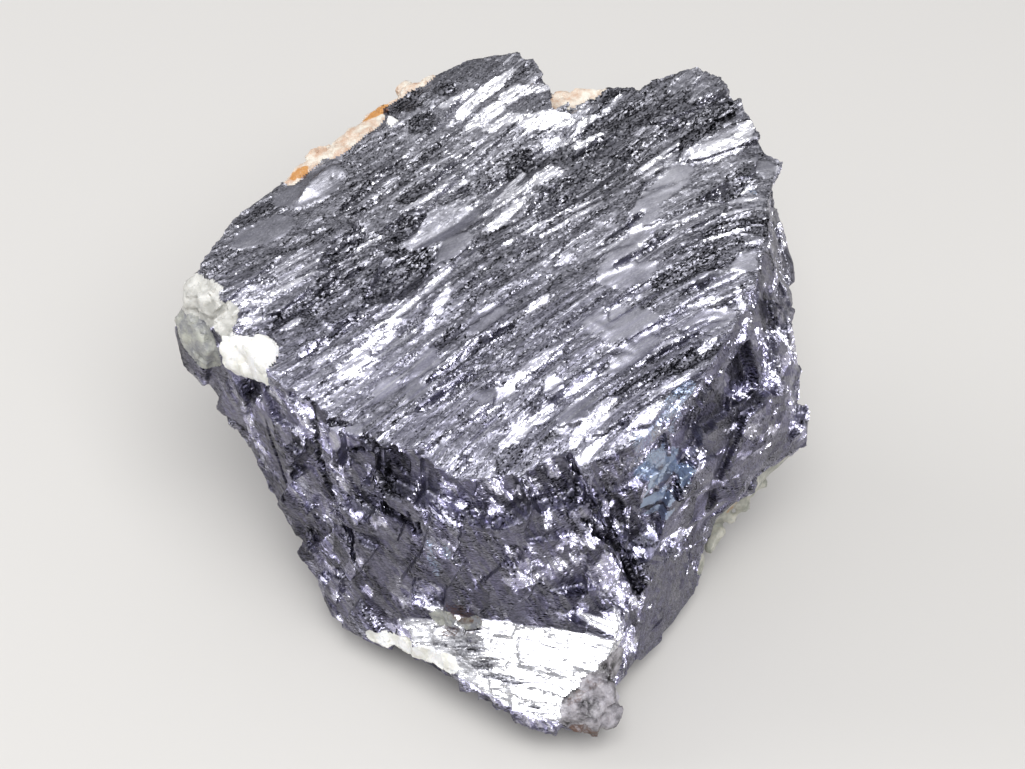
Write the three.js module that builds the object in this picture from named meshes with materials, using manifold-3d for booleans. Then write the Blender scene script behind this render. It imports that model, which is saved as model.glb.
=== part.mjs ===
// Galena specimen: one broken lump of lead ore, about 58 mm across.
// A broad cleaved top, foliated in long parallel blades, leans a little
// forward over steep, stepped, broken sides.  A cleavage shelf juts out low
// at the front and ends in a stony tip.  White gangue mineral sits at the
// left corner and a thin crust follows the back edge.
// Units are millimetres, +Z is up, the broken front looks along -Y.

import * as THREE from 'three';
import { ConvexGeometry } from 'three/addons/geometries/ConvexGeometry.js';
import { mergeVertices } from 'three/addons/utils/BufferGeometryUtils.js';
import Module from 'manifold-3d';

const wasm = await Module();
wasm.setup();

// ---------------------------------------------------------------------------
// Driving dimensions
// ---------------------------------------------------------------------------

// The cleaved top is a plane: height over the origin, rise per mm in x and y.
const TOP_HEIGHT = 33.85;
const TOP_RISE_X = 0.05;
const TOP_RISE_Y = 0.16;

// The rim of the top is rounded off by this much.
const RIM_DROP = -0.6;

// Plan direction of the foliation on the top, in degrees from +X.  It turns
// steeper towards the back left and flatter towards the right end.
const GRAIN_ANGLE = 36;
const GRAIN_TURN_BACK_LEFT = 9;
const GRAIN_TURN_RIGHT = -17;

// The top is laid with rows of long laths along the grain, in broken lengths.
const LATH_ROW_GAP = 1.95;
const LATH_LENGTH = [8, 17];
const LATH_WIDTH = [1.7, 2.9];
const LATH_LIFT = [0.02, 0.62];

// Sharper grooves between the laths.
const GROOVE_COUNT = 22;
const GROOVE_LENGTH = [5, 12];
const GROOVE_WIDTH = [0.5, 1.2];
const GROOVE_DEPTH = [0.4, 0.8];

// Cleavage steps and chips around the broken sides.
const STEP_ROWS = [5, 10.5, 16, 21.5, 27];
const STEPS_IN_ROW = 16;
const STEP_WIDTH = [2.6, 5.4];
const STEP_HEIGHT = [3.8, 8];
const STEP_OUT = [0.3, 1.0];
const STEP_LEAN = [-0.7, 0.6];
const CHIP_OUT = [0.5, 1.4];
const CLEAVAGE_LEAN = -18;
const RIM_CHIPS = 15;

// No blade or step stands farther than this out of the mass that it grows from.
const RELIEF_REACH = 1.1;

// Shortest edge left on the finished lump, and twice the area of a face too thin to matter.
const MIN_EDGE = 0.32;
const SLIVER_AREA = 0.015;

// ---------------------------------------------------------------------------
// Small helpers
// ---------------------------------------------------------------------------

// Repeatable numbers between 0 and 1, so every build gives the same stone.
function seeded(seed) {
  let state = seed * 7919 + 17;
  return () => {
    state = (state * 16807) % 2147483647;
    return state / 2147483647;
  };
}

function between(random, range) {
  return range[0] + (range[1] - range[0]) * random();
}

function radians(degrees) {
  return degrees * Math.PI / 180;
}

// A point of the top plane over (x, y), raised or sunk by lift.
function onTop(x, y, lift = 0) {
  return [x, y, TOP_HEIGHT + TOP_RISE_X * x + TOP_RISE_Y * y + lift];
}

// Turns a closed three.js geometry into a solid that can be joined and cut.
function solidOf(geometry) {
  const bare = geometry.clone();
  bare.deleteAttribute('normal');
  bare.deleteAttribute('uv');
  const merged = mergeVertices(bare, 1e-5);
  const vertProperties = new Float32Array(merged.attributes.position.array);
  const triVerts = new Uint32Array(merged.index.array);
  return new wasm.Manifold(new wasm.Mesh({ numProp: 3, vertProperties, triVerts }));
}

function geometryOf(solid) {
  const mesh = solid.getMesh();
  const geometry = new THREE.BufferGeometry();
  geometry.setAttribute('position', new THREE.BufferAttribute(mesh.vertProperties, 3));
  geometry.setIndex(new THREE.BufferAttribute(mesh.triVerts, 1));
  return geometry;
}

// The convex block that has these corners.
function block(corners) {
  const points = corners.map((corner) => new THREE.Vector3(...corner));
  return solidOf(new ConvexGeometry(points));
}

function joined(solids) {
  return solids.reduce((whole, solid) => whole.add(solid));
}

function cutAway(body, cutters) {
  return body.subtract(joined(cutters));
}

// ---------------------------------------------------------------------------
// The masses of the lump, each a convex block between named corners
// ---------------------------------------------------------------------------

// Corners that neighbouring masses share.
const LEFT_RIM = onTop(-26.1, 4.4, RIM_DROP);
const LEFT_EDGE = onTop(-21.4, -4.6, RIM_DROP);
const LEFT_FRONT = onTop(-18, -9.4, RIM_DROP);
const FRONT_LEFT = onTop(-13.2, -13.3, RIM_DROP);
const FRONT_NOSE = onTop(-0.8, -19.3, RIM_DROP);
const FRONT_RIGHT = onTop(8.8, -16.6, RIM_DROP);
const RIGHT_FRONT = onTop(12.2, -15, RIM_DROP);
const RIGHT_SHOULDER = onTop(17.4, -9.9, RIM_DROP);
const RIGHT_EDGE = onTop(22, -1.6, RIM_DROP);
const RIGHT_CORNER = [28.9, -1.6, 15.5];
const UNDER_CORNER = [25.3, -2.2, 9.5];
const BLUE_FOOT = [14.6, -13, 14.5];

function coreMass() {
  return block([
    onTop(-18.5, 4), onTop(-19, -1), onTop(-15, -8), onTop(-4, -13.5),
    onTop(-0.5, -16), onTop(7.6, -13.6), onTop(15.6, -7.8), onTop(20, 0.5),
    onTop(22, 6), onTop(22, 12), onTop(12, 19), onTop(3, 19.5), onTop(-8, 18.5),
    [-14, -8, 0], [-14, 4, 0], [-6, 12, 0], [6, 13, 0], [15, 8, 0],
    [17, -4, 0], [9, -14, 0], [-8, -12, 0],
  ]);
}

function leftMass() {
  return block([
    LEFT_RIM, onTop(-23.4, 9.1, RIM_DROP), onTop(-17.5, 13.2, RIM_DROP),
    onTop(-9, 22, RIM_DROP), onTop(5.1, 22.2, RIM_DROP), LEFT_EDGE, LEFT_FRONT,
    onTop(-23.5, 4), onTop(-16.6, 11), onTop(-8.6, 19.8), onTop(3, 20),
    onTop(4, 0), onTop(-19, -4), onTop(-15.8, -8),
    [-27.5, 4, 27], [-24, 9.5, 22], [-17, 14.2, 22], [-8, 21.5, 25],
    [4.5, 21, 22], [-22.5, -3.5, 16.5], [-18.5, -8.2, 9],
    [-15, -9, 0], [-15, 3, 0], [-10, 10, 0], [-2, 15, 0], [5, 14, 0], [5, -8, 0],
  ]);
}

function backLeftLobe() {
  return block([
    onTop(-8.8, 22.6, RIM_DROP), onTop(-2.4, 26, RIM_DROP), onTop(1.3, 26.7, RIM_DROP),
    onTop(3.3, 25.6, RIM_DROP), onTop(5.1, 22.4, RIM_DROP), onTop(-6.4, 21.5),
    onTop(-1, 24.2), onTop(1.6, 24), onTop(2.8, 21.6), onTop(-2, 12),
    [-8, 21, 26], [1, 25.5, 27], [4.5, 21.5, 25], [0, 16, 14], [-3, 12, 14],
  ]);
}

function notchSaddle() {
  return block([
    onTop(2, 22, -1.2), onTop(7.4, 20.8, -1), onTop(9.5, 21.3, -1), onTop(10.3, 22.1, -0.5),
    onTop(11, 22, -0.5), onTop(12.6, 20.7, -1), onTop(16, 20, -1.2), onTop(12, 14, -0.5),
    onTop(4, 14, -0.5), [4, 19, 22], [10, 18, 20], [15, 18, 22], [9, 10, 18],
  ]);
}

function rightMass() {
  return block([
    onTop(12.8, 20.3, RIM_DROP), onTop(14.5, 22.1, RIM_DROP), onTop(18.3, 23.4, RIM_DROP),
    onTop(20.7, 21.9, RIM_DROP), onTop(22.2, 19.6, RIM_DROP), onTop(25, 12.4, RIM_DROP),
    onTop(24.5, 6.2, RIM_DROP), onTop(22.9, 3.6, RIM_DROP), RIGHT_EDGE, RIGHT_SHOULDER,
    onTop(15, 20.4), onTop(18.2, 21), onTop(20.4, 18.6), onTop(22.8, 12), onTop(21.8, 6),
    onTop(19.6, -0.6), onTop(15.6, -7.6), onTop(4, 0), onTop(2, 10),
    [26.8, 5.7, 27.5], [27.7, 3.3, 24], [28.2, 1.7, 21], RIGHT_CORNER,
    [27.4, -1.5, 12.5], [26.5, 10, 24], [23, 18, 26], [15, 21, 26],
    UNDER_CORNER, [22.4, -4, 6.5],
    [17, -5, 0], [19, 2, 0], [16, 9, 0], [8, 14, 0], [0, 10, 0], [0, -6, 0],
  ]);
}

function frontMass() {
  return block([
    RIGHT_FRONT, FRONT_RIGHT, onTop(5.5, -17.5, RIM_DROP), FRONT_NOSE,
    onTop(-5.4, -16.9, RIM_DROP), FRONT_LEFT, LEFT_FRONT,
    onTop(10.4, -13), onTop(7.6, -14), onTop(-0.5, -16.4), onTop(-11.8, -11), onTop(0, 0),
    [-16.6, -11, 5], [-15.3, -13, 3], [-12.7, -14.3, 3.5], [-10.7, -16, 4.5],
    [-3.7, -17.2, 10.5], [0.8, -19, 10.8], [5.7, -19.5, 10.5], [9.6, -19.8, 10],
    [-13, -11, 0], [-9, -14, 0], [4, -17, 0], [10, -16, 0], [10, 0, 0], [-10, 0, 0],
  ]);
}

function rightFrontMass() {
  return block([
    RIGHT_EDGE, RIGHT_SHOULDER, RIGHT_FRONT, onTop(15.6, -7.6), onTop(5, -5),
    [28.2, 1.7, 21], RIGHT_CORNER, [27.4, -1.5, 12.5], UNDER_CORNER,
    [22, -4, 7], [18.8, -7.6, 9], BLUE_FOOT, [9, -16, 22], [10, -4, 10], [14, -6, 4],
  ]);
}

function lowerRightMass() {
  return block([
    BLUE_FOOT, [9.6, -17, 20], [18.6, -7.6, 9.5], [19.6, -7.6, 5], [19.1, -10, 3.5],
    [17.3, -13.4, 3], [14.8, -15.9, 3.5], [13.1, -18.2, 4.8], [12, -19.3, 9],
    [9.6, -19.8, 10], [13.4, -15.8, 11], [6, -12, 12],
    [16, -8, 0], [15, -12, 0], [12, -15, 0], [8, -14, 0], [10, -4, 0],
  ]);
}

function leftCornerMass() {
  return block([
    [-28.6, 3, 26.4], [-27.6, 1, 24.2], [-24.7, -1, 20], [-22.5, -3.5, 16.5],
    onTop(-26.6, 3.4, -1.6), onTop(-22.6, -2.4, -1.4), LEFT_EDGE,
    [-20, 6, 20], [-16, -4, 12], [-16, 6, 30],
  ]);
}

function shelfMass() {
  return block([
    [-9.2, -16.4, 8], [-3.7, -17.2, 10.3], [0.8, -19, 10.5], [5.7, -19.5, 10.2],
    [9.6, -20, 9.8], [11.8, -19.3, 9], [8, -22.4, 8.2], [5.6, -24.5, 7.2],
    [1.3, -25.4, 6.2], [-1.4, -23.6, 6.6], [-3.9, -21, 6.7], [-8.3, -18.1, 5],
    [-10.7, -16, 4.5], [-8, -14, 0], [0, -20, 0], [8, -21, 0], [10, -14, 0],
  ]);
}

function tipMass() {
  return block([
    [8, -22.2, 8.6], [11.7, -22, 6], [11.1, -24.2, 5.4], [9.7, -26, 4.4],
    [7.1, -26.4, 4.4], [5.3, -25.8, 5], [6, -23.5, 8], [11.5, -19.5, 7],
    [9, -22, 0], [6, -23, 0], [4, -19, 0], [10, -18, 0],
  ]);
}

function masses() {
  return joined([
    coreMass(), leftMass(), backLeftLobe(), notchSaddle(), rightMass(), frontMass(),
    rightFrontMass(), lowerRightMass(), leftCornerMass(), shelfMass(), tipMass(),
  ]);
}

// ---------------------------------------------------------------------------
// Foliation of the top
// ---------------------------------------------------------------------------

// Direction of the foliation at a place on the top, in degrees.
function grainAngle(x, y) {
  const backLeft = Math.min(Math.max((y - x + 4) / 24, 0), 1);
  const right = Math.min(Math.max((x - 12) / 10, 0), 1);
  return GRAIN_ANGLE + GRAIN_TURN_BACK_LEFT * backLeft + GRAIN_TURN_RIGHT * right;
}

// Corner on the top, stepped along and across the foliation from (x, y).
function alongGrain(x, y, angle, along, across, lift) {
  const c = Math.cos(radians(angle));
  const s = Math.sin(radians(angle));
  return onTop(x + along * c - across * s, y + along * s + across * c, lift);
}

// A lens-shaped blade that stands a little proud and leans over one way.
function blade(x, y, length, width, height, angle = grainAngle(x, y)) {
  const at = (along, across, lift) => {
    return alongGrain(x, y, angle, along * length, across * width, lift);
  };
  return block([
    at(-0.5, 0, -0.1), at(0.5, 0.1, -0.1), at(-0.1, -0.5, -0.1), at(0.15, 0.5, -0.1),
    at(-0.22, 0.3, height), at(0.24, 0.34, height * 0.9),
    at(-0.2, 0, -1.5), at(0.2, 0, -1.5),
  ]);
}

// A lens-shaped groove between blades, to be cut away.
function groove(x, y, length, width, depth, angle = grainAngle(x, y)) {
  const at = (along, across, lift) => {
    return alongGrain(x, y, angle, along * length, across * width, lift);
  };
  return block([
    at(-0.55, 0, 0.15), at(0.55, 0, 0.15), at(-0.1, -0.6, 0.4), at(0.1, 0.6, 0.4),
    at(-0.2, -0.1, -depth), at(0.22, -0.05, -depth), at(0, 0, 2.5),
  ]);
}

// The blades that catch the eye: x, y, length, width, height.
const MAIN_BLADES = [
  [-10, -2.4, 9, 2.4, 0.8], [-11.8, -5.4, 10, 1.9, 0.9], [-11.6, -7.8, 5, 1.6, 0.7],
  [-4.9, -0.6, 9, 1.7, 0.6], [-20.4, 0.9, 8, 1.2, 0.5], [-21.4, -1.5, 6, 1.2, 0.5],
  [2.7, 11.3, 11, 1.6, 0.8], [-4, 15, 14, 2.2, 0.9], [-1.5, 20.5, 9, 2.4, 0.8],
  [-8, 12.6, 12, 1.8, 0.7], [19.6, 17.4, 11, 2.2, 0.9], [14.3, 13.2, 9, 3.2, 0.6],
  [21.2, 6.3, 7, 1.3, 0.6], [17.8, 2.2, 9, 1.5, 0.7], [15.8, -6.4, 9, 1.5, 0.7],
  [2.6, -12.8, 6, 1.7, 0.7], [8.2, -13, 5.5, 2, 0.6], [4, -8.6, 4.5, 2.2, 0.5],
  [13.2, -12.6, 6, 1.8, 0.6], [9, 18, 10, 1.6, 0.7], [6, 3.5, 13, 1.5, 0.6],
  [-15.5, 12, 7, 2.2, 0.6], [12.4, 7.5, 12, 2.6, 0.5],
];

// Broad shallow valleys and the darkest hollow: x, y, length, width, depth.
const MAIN_GROOVES = [
  [0.5, 12.5, 30, 6, 1.2], [-8, 2.2, 9, 5, 1.3], [-13.5, 4.4, 6, 2.6, 0.9],
  [-7.6, 7, 5, 2.4, 0.8], [9.5, 12, 20, 2.6, 0.9], [19.5, 0.4, 9, 1.6, 0.8],
  [-14.6, -4.6, 8, 1.6, 0.7], [-2, -6.5, 11, 1.6, 0.7], [21, 9.6, 7, 1.8, 0.8],
];

function insideTop(x, y) {
  const fromFront = y + 17.6 - 0.55 * Math.abs(x - 1);
  const fromLeft = x + 24.5 - 0.35 * Math.abs(y - 2);
  const fromBackLeft = 22.5 + 0.95 * x - 0.9 * (y - 3);
  const fromRight = 24 - x - 0.12 * Math.abs(y - 6);
  return Math.min(fromFront, fromLeft, fromBackLeft, fromRight, 23.5 - y) > 0;
}

// One lath: a long plank with a level or leaning top, narrower at its ends.
function lath(x, y, random) {
  const angle = grainAngle(x, y) + between(random, [-3, 3]);
  const half = 0.5 * between(random, LATH_LENGTH);
  const side = 0.5 * between(random, LATH_WIDTH);
  const near = between(random, LATH_LIFT);
  const far = between(random, LATH_LIFT);
  const at = (along, across, lift) => alongGrain(x, y, angle, along, across, lift);
  return block([
    at(-half, -0.3 * side, near - 0.25), at(-0.8 * half, side, far), at(-0.7 * half, -side, near),
    at(0.7 * half, side, far), at(0.8 * half, -side, near), at(half, 0.3 * side, far - 0.25),
    at(-0.7 * half, 0, -2), at(0.7 * half, 0, -2),
  ]);
}

function topLaths() {
  const random = seeded(11);
  const c = Math.cos(radians(GRAIN_ANGLE));
  const s = Math.sin(radians(GRAIN_ANGLE));
  const laths = [];
  for (let across = -24; across < 26; across += LATH_ROW_GAP) {
    let along = -30 + between(random, [0, 8]);
    while (along < 32) {
      const x = along * c - across * s;
      const y = along * s + across * c;
      if (insideTop(x, y)) {
        laths.push(lath(x, y, random));
      }
      along += between(random, LATH_LENGTH);
    }
  }
  return laths;
}

// Laths and blades, held back to the outline of the body that they lie on.
function foliation(body) {
  const blades = MAIN_BLADES.map((values) => blade(...values));
  const raised = solidOf(geometryOf(body).translate(0, 0, RELIEF_REACH));
  return joined(topLaths().concat(blades)).intersect(body.add(raised));
}

function topGrooves() {
  const random = seeded(23);
  const grooves = MAIN_GROOVES.map((values) => groove(...values));
  while (grooves.length < MAIN_GROOVES.length + GROOVE_COUNT) {
    const x = between(random, [-24, 23]);
    const y = between(random, [-15, 22]);
    if (insideTop(x, y)) {
      const length = between(random, GROOVE_LENGTH);
      const width = between(random, GROOVE_WIDTH);
      grooves.push(groove(x, y, length, width, between(random, GROOVE_DEPTH)));
    }
  }
  return grooves;
}

// ---------------------------------------------------------------------------
// Cleavage steps and chips of the sides
// ---------------------------------------------------------------------------

// Finds where the side of the lump lies at a heading (degrees) and a height.
function sideFinder(body) {
  const mesh = new THREE.Mesh(geometryOf(body), new THREE.MeshBasicMaterial());
  const raycaster = new THREE.Raycaster();
  return (heading, height) => {
    const inward = new THREE.Vector3(-Math.cos(radians(heading)), -Math.sin(radians(heading)), 0);
    const start = inward.clone().multiplyScalar(-80).setZ(height);
    raycaster.set(start, inward);
    const hit = raycaster.intersectObject(mesh)[0];
    return { point: hit.point, normal: hit.face.normal.clone() };
  };
}

// Uneven six-sided piece of ore, set into or standing out of a side.
function cleavagePiece(place, width, height, out, depth, turn, random) {
  const outward = place.normal.clone();
  const across = new THREE.Vector3(0, 0, 1).cross(outward).normalize();
  across.applyAxisAngle(outward, radians(turn));
  const along = outward.clone().cross(across).normalize();
  const corners = [];
  for (const u of [-0.5, 0.5]) {
    for (const v of [-0.5, 0.5]) {
      for (const w of [-depth, out]) {
        const lean = w > 0 ? between(random, STEP_LEAN) : 0;
        const corner = place.point.clone();
        corner.addScaledVector(across, width * (u + between(random, [-0.12, 0.12])));
        corner.addScaledVector(along, height * (v + between(random, [-0.12, 0.12])));
        corner.addScaledVector(outward, w + lean);
        corners.push(corner.toArray());
      }
    }
  }
  return block(corners);
}

// The shelf and the tip keep their own plates and knobs.
function onShelf(point) {
  return point.y < -15 && point.z < 13 && point.x > -11 && point.x < 13;
}

function sideSteps(findSide) {
  const random = seeded(37);
  const steps = [];
  STEP_ROWS.forEach((row, index) => {
    for (let i = 0; i < STEPS_IN_ROW; i += 1) {
      const heading = (i + 0.5 * (index % 2) + between(random, [-0.3, 0.3])) * 360 / STEPS_IN_ROW;
      const place = findSide(heading, row + between(random, [-1.6, 1.6]));
      const width = between(random, STEP_WIDTH);
      const height = between(random, STEP_HEIGHT);
      const out = between(random, STEP_OUT);
      const turn = CLEAVAGE_LEAN + between(random, [-12, 12]);
      if (!onShelf(place.point)) {
        steps.push(cleavagePiece(place, width, height, out, 4, turn, random));
      }
    }
  });
  return steps;
}

// Steps of the sides, held back where they would reach past a corner of the body.
function steppedSides(body, findSide) {
  const swell = 1 + RELIEF_REACH / 25;
  const swollen = solidOf(geometryOf(body).scale(swell, swell, 1));
  return joined(sideSteps(findSide)).intersect(swollen);
}

function sideChips(findSide) {
  const random = seeded(53);
  const chips = [];
  STEP_ROWS.slice(1).forEach((row, index) => {
    for (let i = 0; i < STEPS_IN_ROW / 2; i += 1) {
      const heading = (i + 0.5 * (index % 2) + between(random, [-0.4, 0.4])) * 720 / STEPS_IN_ROW;
      const place = findSide(heading, row - 2 + between(random, [-1.6, 1.6]));
      const width = between(random, STEP_WIDTH);
      const height = between(random, STEP_HEIGHT);
      const depth = between(random, CHIP_OUT);
      const turn = CLEAVAGE_LEAN + between(random, [-15, 15]);
      if (!onShelf(place.point)) {
        chips.push(cleavagePiece(place, width, height, 3, depth, turn, random));
      }
    }
  });
  return chips.concat(rimChips(findSide, random));
}

// Bites out of the front rim, where the top breaks off into the sides.
function rimChips(findSide, random) {
  const chips = [];
  for (let heading = -165; heading < 10; heading += 175 / RIM_CHIPS) {
    const place = findSide(heading + between(random, [-4, 4]), between(random, [27.6, 29.4]));
    const width = between(random, [2.4, 5]);
    const depth = between(random, [0.6, 1.6]);
    chips.push(cleavagePiece(place, width, 4.6, 3, depth, between(random, [-25, 25]), random));
  }
  return chips;
}

// ---------------------------------------------------------------------------
// Cracks of the front
// ---------------------------------------------------------------------------

// A crack along a chain of points: V-shaped, open to the front, closing at its ends.
function crack(chain, width, depth) {
  const points = chain.map((values) => new THREE.Vector3(...values));
  const outward = new THREE.Vector3(0.15, -1, 0.25).normalize();
  const across = points.at(-1).clone().sub(points[0]).cross(outward).normalize();
  const section = (index) => {
    const end = index === 0 || index === points.length - 1;
    const half = end ? 0.25 * width : width;
    const corner = (sideways, out) => {
      return points[index].clone().addScaledVector(across, sideways)
        .addScaledVector(outward, out).toArray();
    };
    return [corner(-half, 2), corner(half, 2), corner(0, end ? 0 : -depth)];
  };
  return points.slice(1).map((_, index) => block([...section(index), ...section(index + 1)]));
}

const LONG_CRACK = [
  [5.9, -15.2, 32], [8.2, -15.9, 24.5], [9.6, -16.3, 20.5], [11.5, -16.3, 16.5], [13.5, -16.1, 10],
];
const SHORT_CRACK = [[11.2, -15.4, 24], [12.6, -15.2, 19.5], [14.4, -14.6, 14.5]];
const LEFT_CRACKS = [
  [[-16.6, -10.4, 30], [-16.1, -10.8, 25], [-15.2, -10.9, 20]],
  [[-13.6, -12.6, 20], [-12.9, -13, 16.5], [-12.6, -13.4, 13]],
  [[-10.3, -14.2, 28], [-9.8, -14.4, 24.5], [-8.8, -14.4, 21]],
];

function cracks() {
  const left = LEFT_CRACKS.flatMap((points) => crack(points, 0.7, 1.2));
  return crack(LONG_CRACK, 1.1, 2.2).concat(crack(SHORT_CRACK, 0.8, 1.6), left);
}

// ---------------------------------------------------------------------------
// Thin cleavage plates of the shelf
// ---------------------------------------------------------------------------

// Height of the shelf: it falls to the front, and to the left of its middle.
function shelfTop(x, y) {
  return 10.5 + 0.66 * (y + 19) - 0.42 * Math.max(0.8 - x, 0);
}

// One thin plate on the shelf, its long way turned a little to the front.
function shelfPlate(x, y, length, width, lift) {
  const corners = [];
  for (const along of [-0.5, 0.5]) {
    for (const across of [-0.5, 0.5]) {
      const u = length * along * (across > 0 ? 1 : 0.8);
      const v = width * across;
      const px = x + 0.97 * u + 0.24 * v;
      const py = y - 0.24 * u + 0.97 * v;
      const top = shelfTop(px, py) + lift;
      corners.push([px, py, top], [px, py, Math.max(top - 2.4, 1)]);
    }
  }
  return block(corners);
}

// Plates overlap in rows and step down to the front left.
function shelfPlates() {
  const random = seeded(71);
  const plates = [];
  for (let row = 0; row < 7; row += 1) {
    const y = -18.7 - 1.05 * row;
    for (let x = -5.6 + 1.3 * row; x < 9.5 - 0.3 * row; x += 4.6) {
      const length = between(random, [4.6, 6.6]);
      const lift = between(random, [0.05, 0.65]);
      plates.push(shelfPlate(x + between(random, [0, 2]), y, length, 1.9, lift));
    }
  }
  return plates;
}

// ---------------------------------------------------------------------------
// Gangue: lumps of quartz, calcite and stained crust
// ---------------------------------------------------------------------------

// A knobbly lump: a coarse ball squashed to three radii, its corners uneven.
function knob(center, radii, seed) {
  const random = seeded(seed);
  const ball = new THREE.IcosahedronGeometry(1, 0);
  const position = ball.attributes.position;
  const points = [];
  const seen = new Map();
  for (let i = 0; i < position.count; i += 1) {
    const key = [position.getX(i), position.getY(i), position.getZ(i)].map((v) => v.toFixed(3)).join();
    if (!seen.has(key)) {
      seen.set(key, true);
      const swell = between(random, [0.8, 1.2]);
      points.push([
        center[0] + radii[0] * swell * position.getX(i),
        center[1] + radii[1] * swell * position.getY(i),
        center[2] + radii[2] * swell * position.getZ(i),
      ]);
    }
  }
  return block(points);
}

// Knobs strung between two ends, a crust or a seam.
function knobRow(from, to, count, radius, seed) {
  const random = seeded(seed);
  const knobs = [];
  for (let i = 0; i < count; i += 1) {
    const t = (i + between(random, [-0.3, 0.3])) / (count - 1);
    const center = from.map((value, axis) => value + (to[axis] - value) * t + between(random, [-0.4, 0.4]));
    const size = radius * between(random, [0.7, 1.25]);
    knobs.push(knob(center, [size, size, size * 0.8], seed + i));
  }
  return knobs;
}

function leftCornerGangue() {
  return [
    knob([-26.3, 3.2, 30.2], [2, 1.9, 2.2], 101), knob([-24.5, 1.2, 31], [2.1, 1.7, 1.6], 102),
    knob([-23, -1.2, 30.6], [2, 1.8, 1.5], 103), knob([-26.6, 1.8, 27], [2, 1.7, 2.2], 104),
    knob([-22, -3.4, 29.4], [1.9, 1.6, 1.9], 105), knob([-20.6, -4.4, 29.6], [1.8, 1.4, 1.8], 106),
    knob([-25, 0, 25.4], [1.7, 1.5, 2], 107),
  ];
}

function backCrust() {
  return knobRow([-18, 13.2, 33.6], [-9.4, 21.8, 35], 12, 1.1, 120)
    .concat(knobRow([-17.4, 13.6, 31.4], [-9.6, 21.2, 32.6], 7, 1.5, 140))
    .concat(knobRow([-8.4, 22.8, 35.6], [-5.6, 24.2, 35.8], 3, 0.9, 155))
    .concat(knobRow([6, 21.4, 34.6], [10, 21.4, 34.8], 4, 1.1, 160));
}

function tipGangue() {
  return [
    knob([9.4, -23.2, 6.8], [2, 1.9, 1.7], 171), knob([10.4, -21.2, 7.2], [1.5, 1.6, 1.7], 172),
    knob([7.4, -24.8, 5.8], [1.8, 1.5, 1.6], 173), knob([10.1, -24.6, 4.6], [1.5, 1.5, 1.6], 174),
    knob([-3.2, -17.8, 9.6], [1.5, 1.2, 1.1], 175), knob([-1.6, -19.2, 9.4], [1.1, 1, 0.9], 176),
  ];
}

function lowerRightSeam() {
  return knobRow([20, -6.6, 4.6], [25, -2.4, 9.4], 7, 1.0, 180);
}

// ---------------------------------------------------------------------------
// The whole lump
// ---------------------------------------------------------------------------

// A small splinter of the right lobe that points out to the side.
function rightSplinter() {
  return block([
    onTop(22.4, 10, -0.8), onTop(23, 15.2, -0.8), onTop(26, 13.2, -0.7), onTop(25.4, 11.8, -1),
    onTop(22.6, 12, -4),
  ]);
}

// Everything under the resting face is ground away by this half space.
function aboveFloor() {
  const box = new THREE.BoxGeometry(100, 100, 100);
  box.translate(0, 0, 50);
  return solidOf(box);
}

function wholeLump() {
  const plain = masses();
  const findSide = sideFinder(plain);
  const foliated = cutAway(plain.add(foliation(plain)), topGrooves());
  const stepped = cutAway(foliated.add(steppedSides(plain, findSide)), sideChips(findSide))
    .add(rightSplinter());
  const cracked = cutAway(stepped.add(joined(shelfPlates())), cracks());
  const gangue = joined([
    ...leftCornerGangue(), ...backCrust(), ...tipGangue(), ...lowerRightSeam(),
  ]);
  return cracked.add(gangue).intersect(aboveFloor());
}

// Corners and faces of a closed surface, with the faces that meet at each corner.
function surfaceOf(geometry) {
  const position = geometry.attributes.position;
  const corners = [];
  for (let i = 0; i < position.count; i += 1) {
    corners.push(new THREE.Vector3().fromBufferAttribute(position, i));
  }
  const faces = [];
  const facesAt = corners.map(() => new Set());
  for (let i = 0; i < geometry.index.count; i += 3) {
    const face = [0, 1, 2].map((k) => geometry.index.getX(i + k));
    face.forEach((corner) => facesAt[corner].add(faces.length));
    faces.push(face);
  }
  return { corners, faces, facesAt };
}

function faceNormal(corners, [a, b, c]) {
  const side = corners[b].clone().sub(corners[a]);
  return side.cross(corners[c].clone().sub(corners[a]));
}

function neighbours(surface, corner) {
  return new Set([...surface.facesAt[corner]].flatMap((face) => surface.faces[face]));
}

// Pulls corner b onto corner a where that leaves the surface closed and unfolded.
function pulledTogether(surface, a, b) {
  const { corners, faces, facesAt } = surface;
  const around = neighbours(surface, b);
  const shared = [...neighbours(surface, a)].filter((c) => c !== a && c !== b && around.has(c));
  const gone = [...facesAt[b]].filter((face) => facesAt[a].has(face));
  const moved = [...facesAt[b]].filter((face) => !facesAt[a].has(face));
  const turned = moved.some((face) => {
    const before = faceNormal(corners, faces[face]);
    const after = faceNormal(corners, faces[face].map((c) => (c === b ? a : c)));
    const sliver = before.length() < SLIVER_AREA;
    return !sliver && after.dot(before) < 0.3 * after.length() * before.length();
  });
  if (shared.length !== 2 || gone.length !== 2 || turned) {
    return false;
  }
  gone.forEach((face) => {
    faces[face].forEach((corner) => facesAt[corner].delete(face));
    faces[face] = null;
  });
  moved.forEach((face) => {
    faces[face] = faces[face].map((corner) => (corner === b ? a : corner));
    facesAt[a].add(face);
  });
  facesAt[b].clear();
  return true;
}

// Takes out the slivers that joins and cuts leave: no edge stays under MIN_EDGE.
function withoutSlivers(geometry) {
  const surface = surfaceOf(geometry);
  let changed = true;
  while (changed) {
    changed = false;
    surface.faces.forEach((_, index) => {
      for (let k = 0; k < 3 && surface.faces[index]; k += 1) {
        const a = surface.faces[index][k];
        const b = surface.faces[index][(k + 1) % 3];
        const short = surface.corners[a].distanceTo(surface.corners[b]) < MIN_EDGE;
        if (short && (pulledTogether(surface, a, b) || pulledTogether(surface, b, a))) {
          changed = true;
        }
      }
    });
  }
  geometry.setIndex(surface.faces.filter((face) => face).flat());
  return geometry;
}

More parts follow.
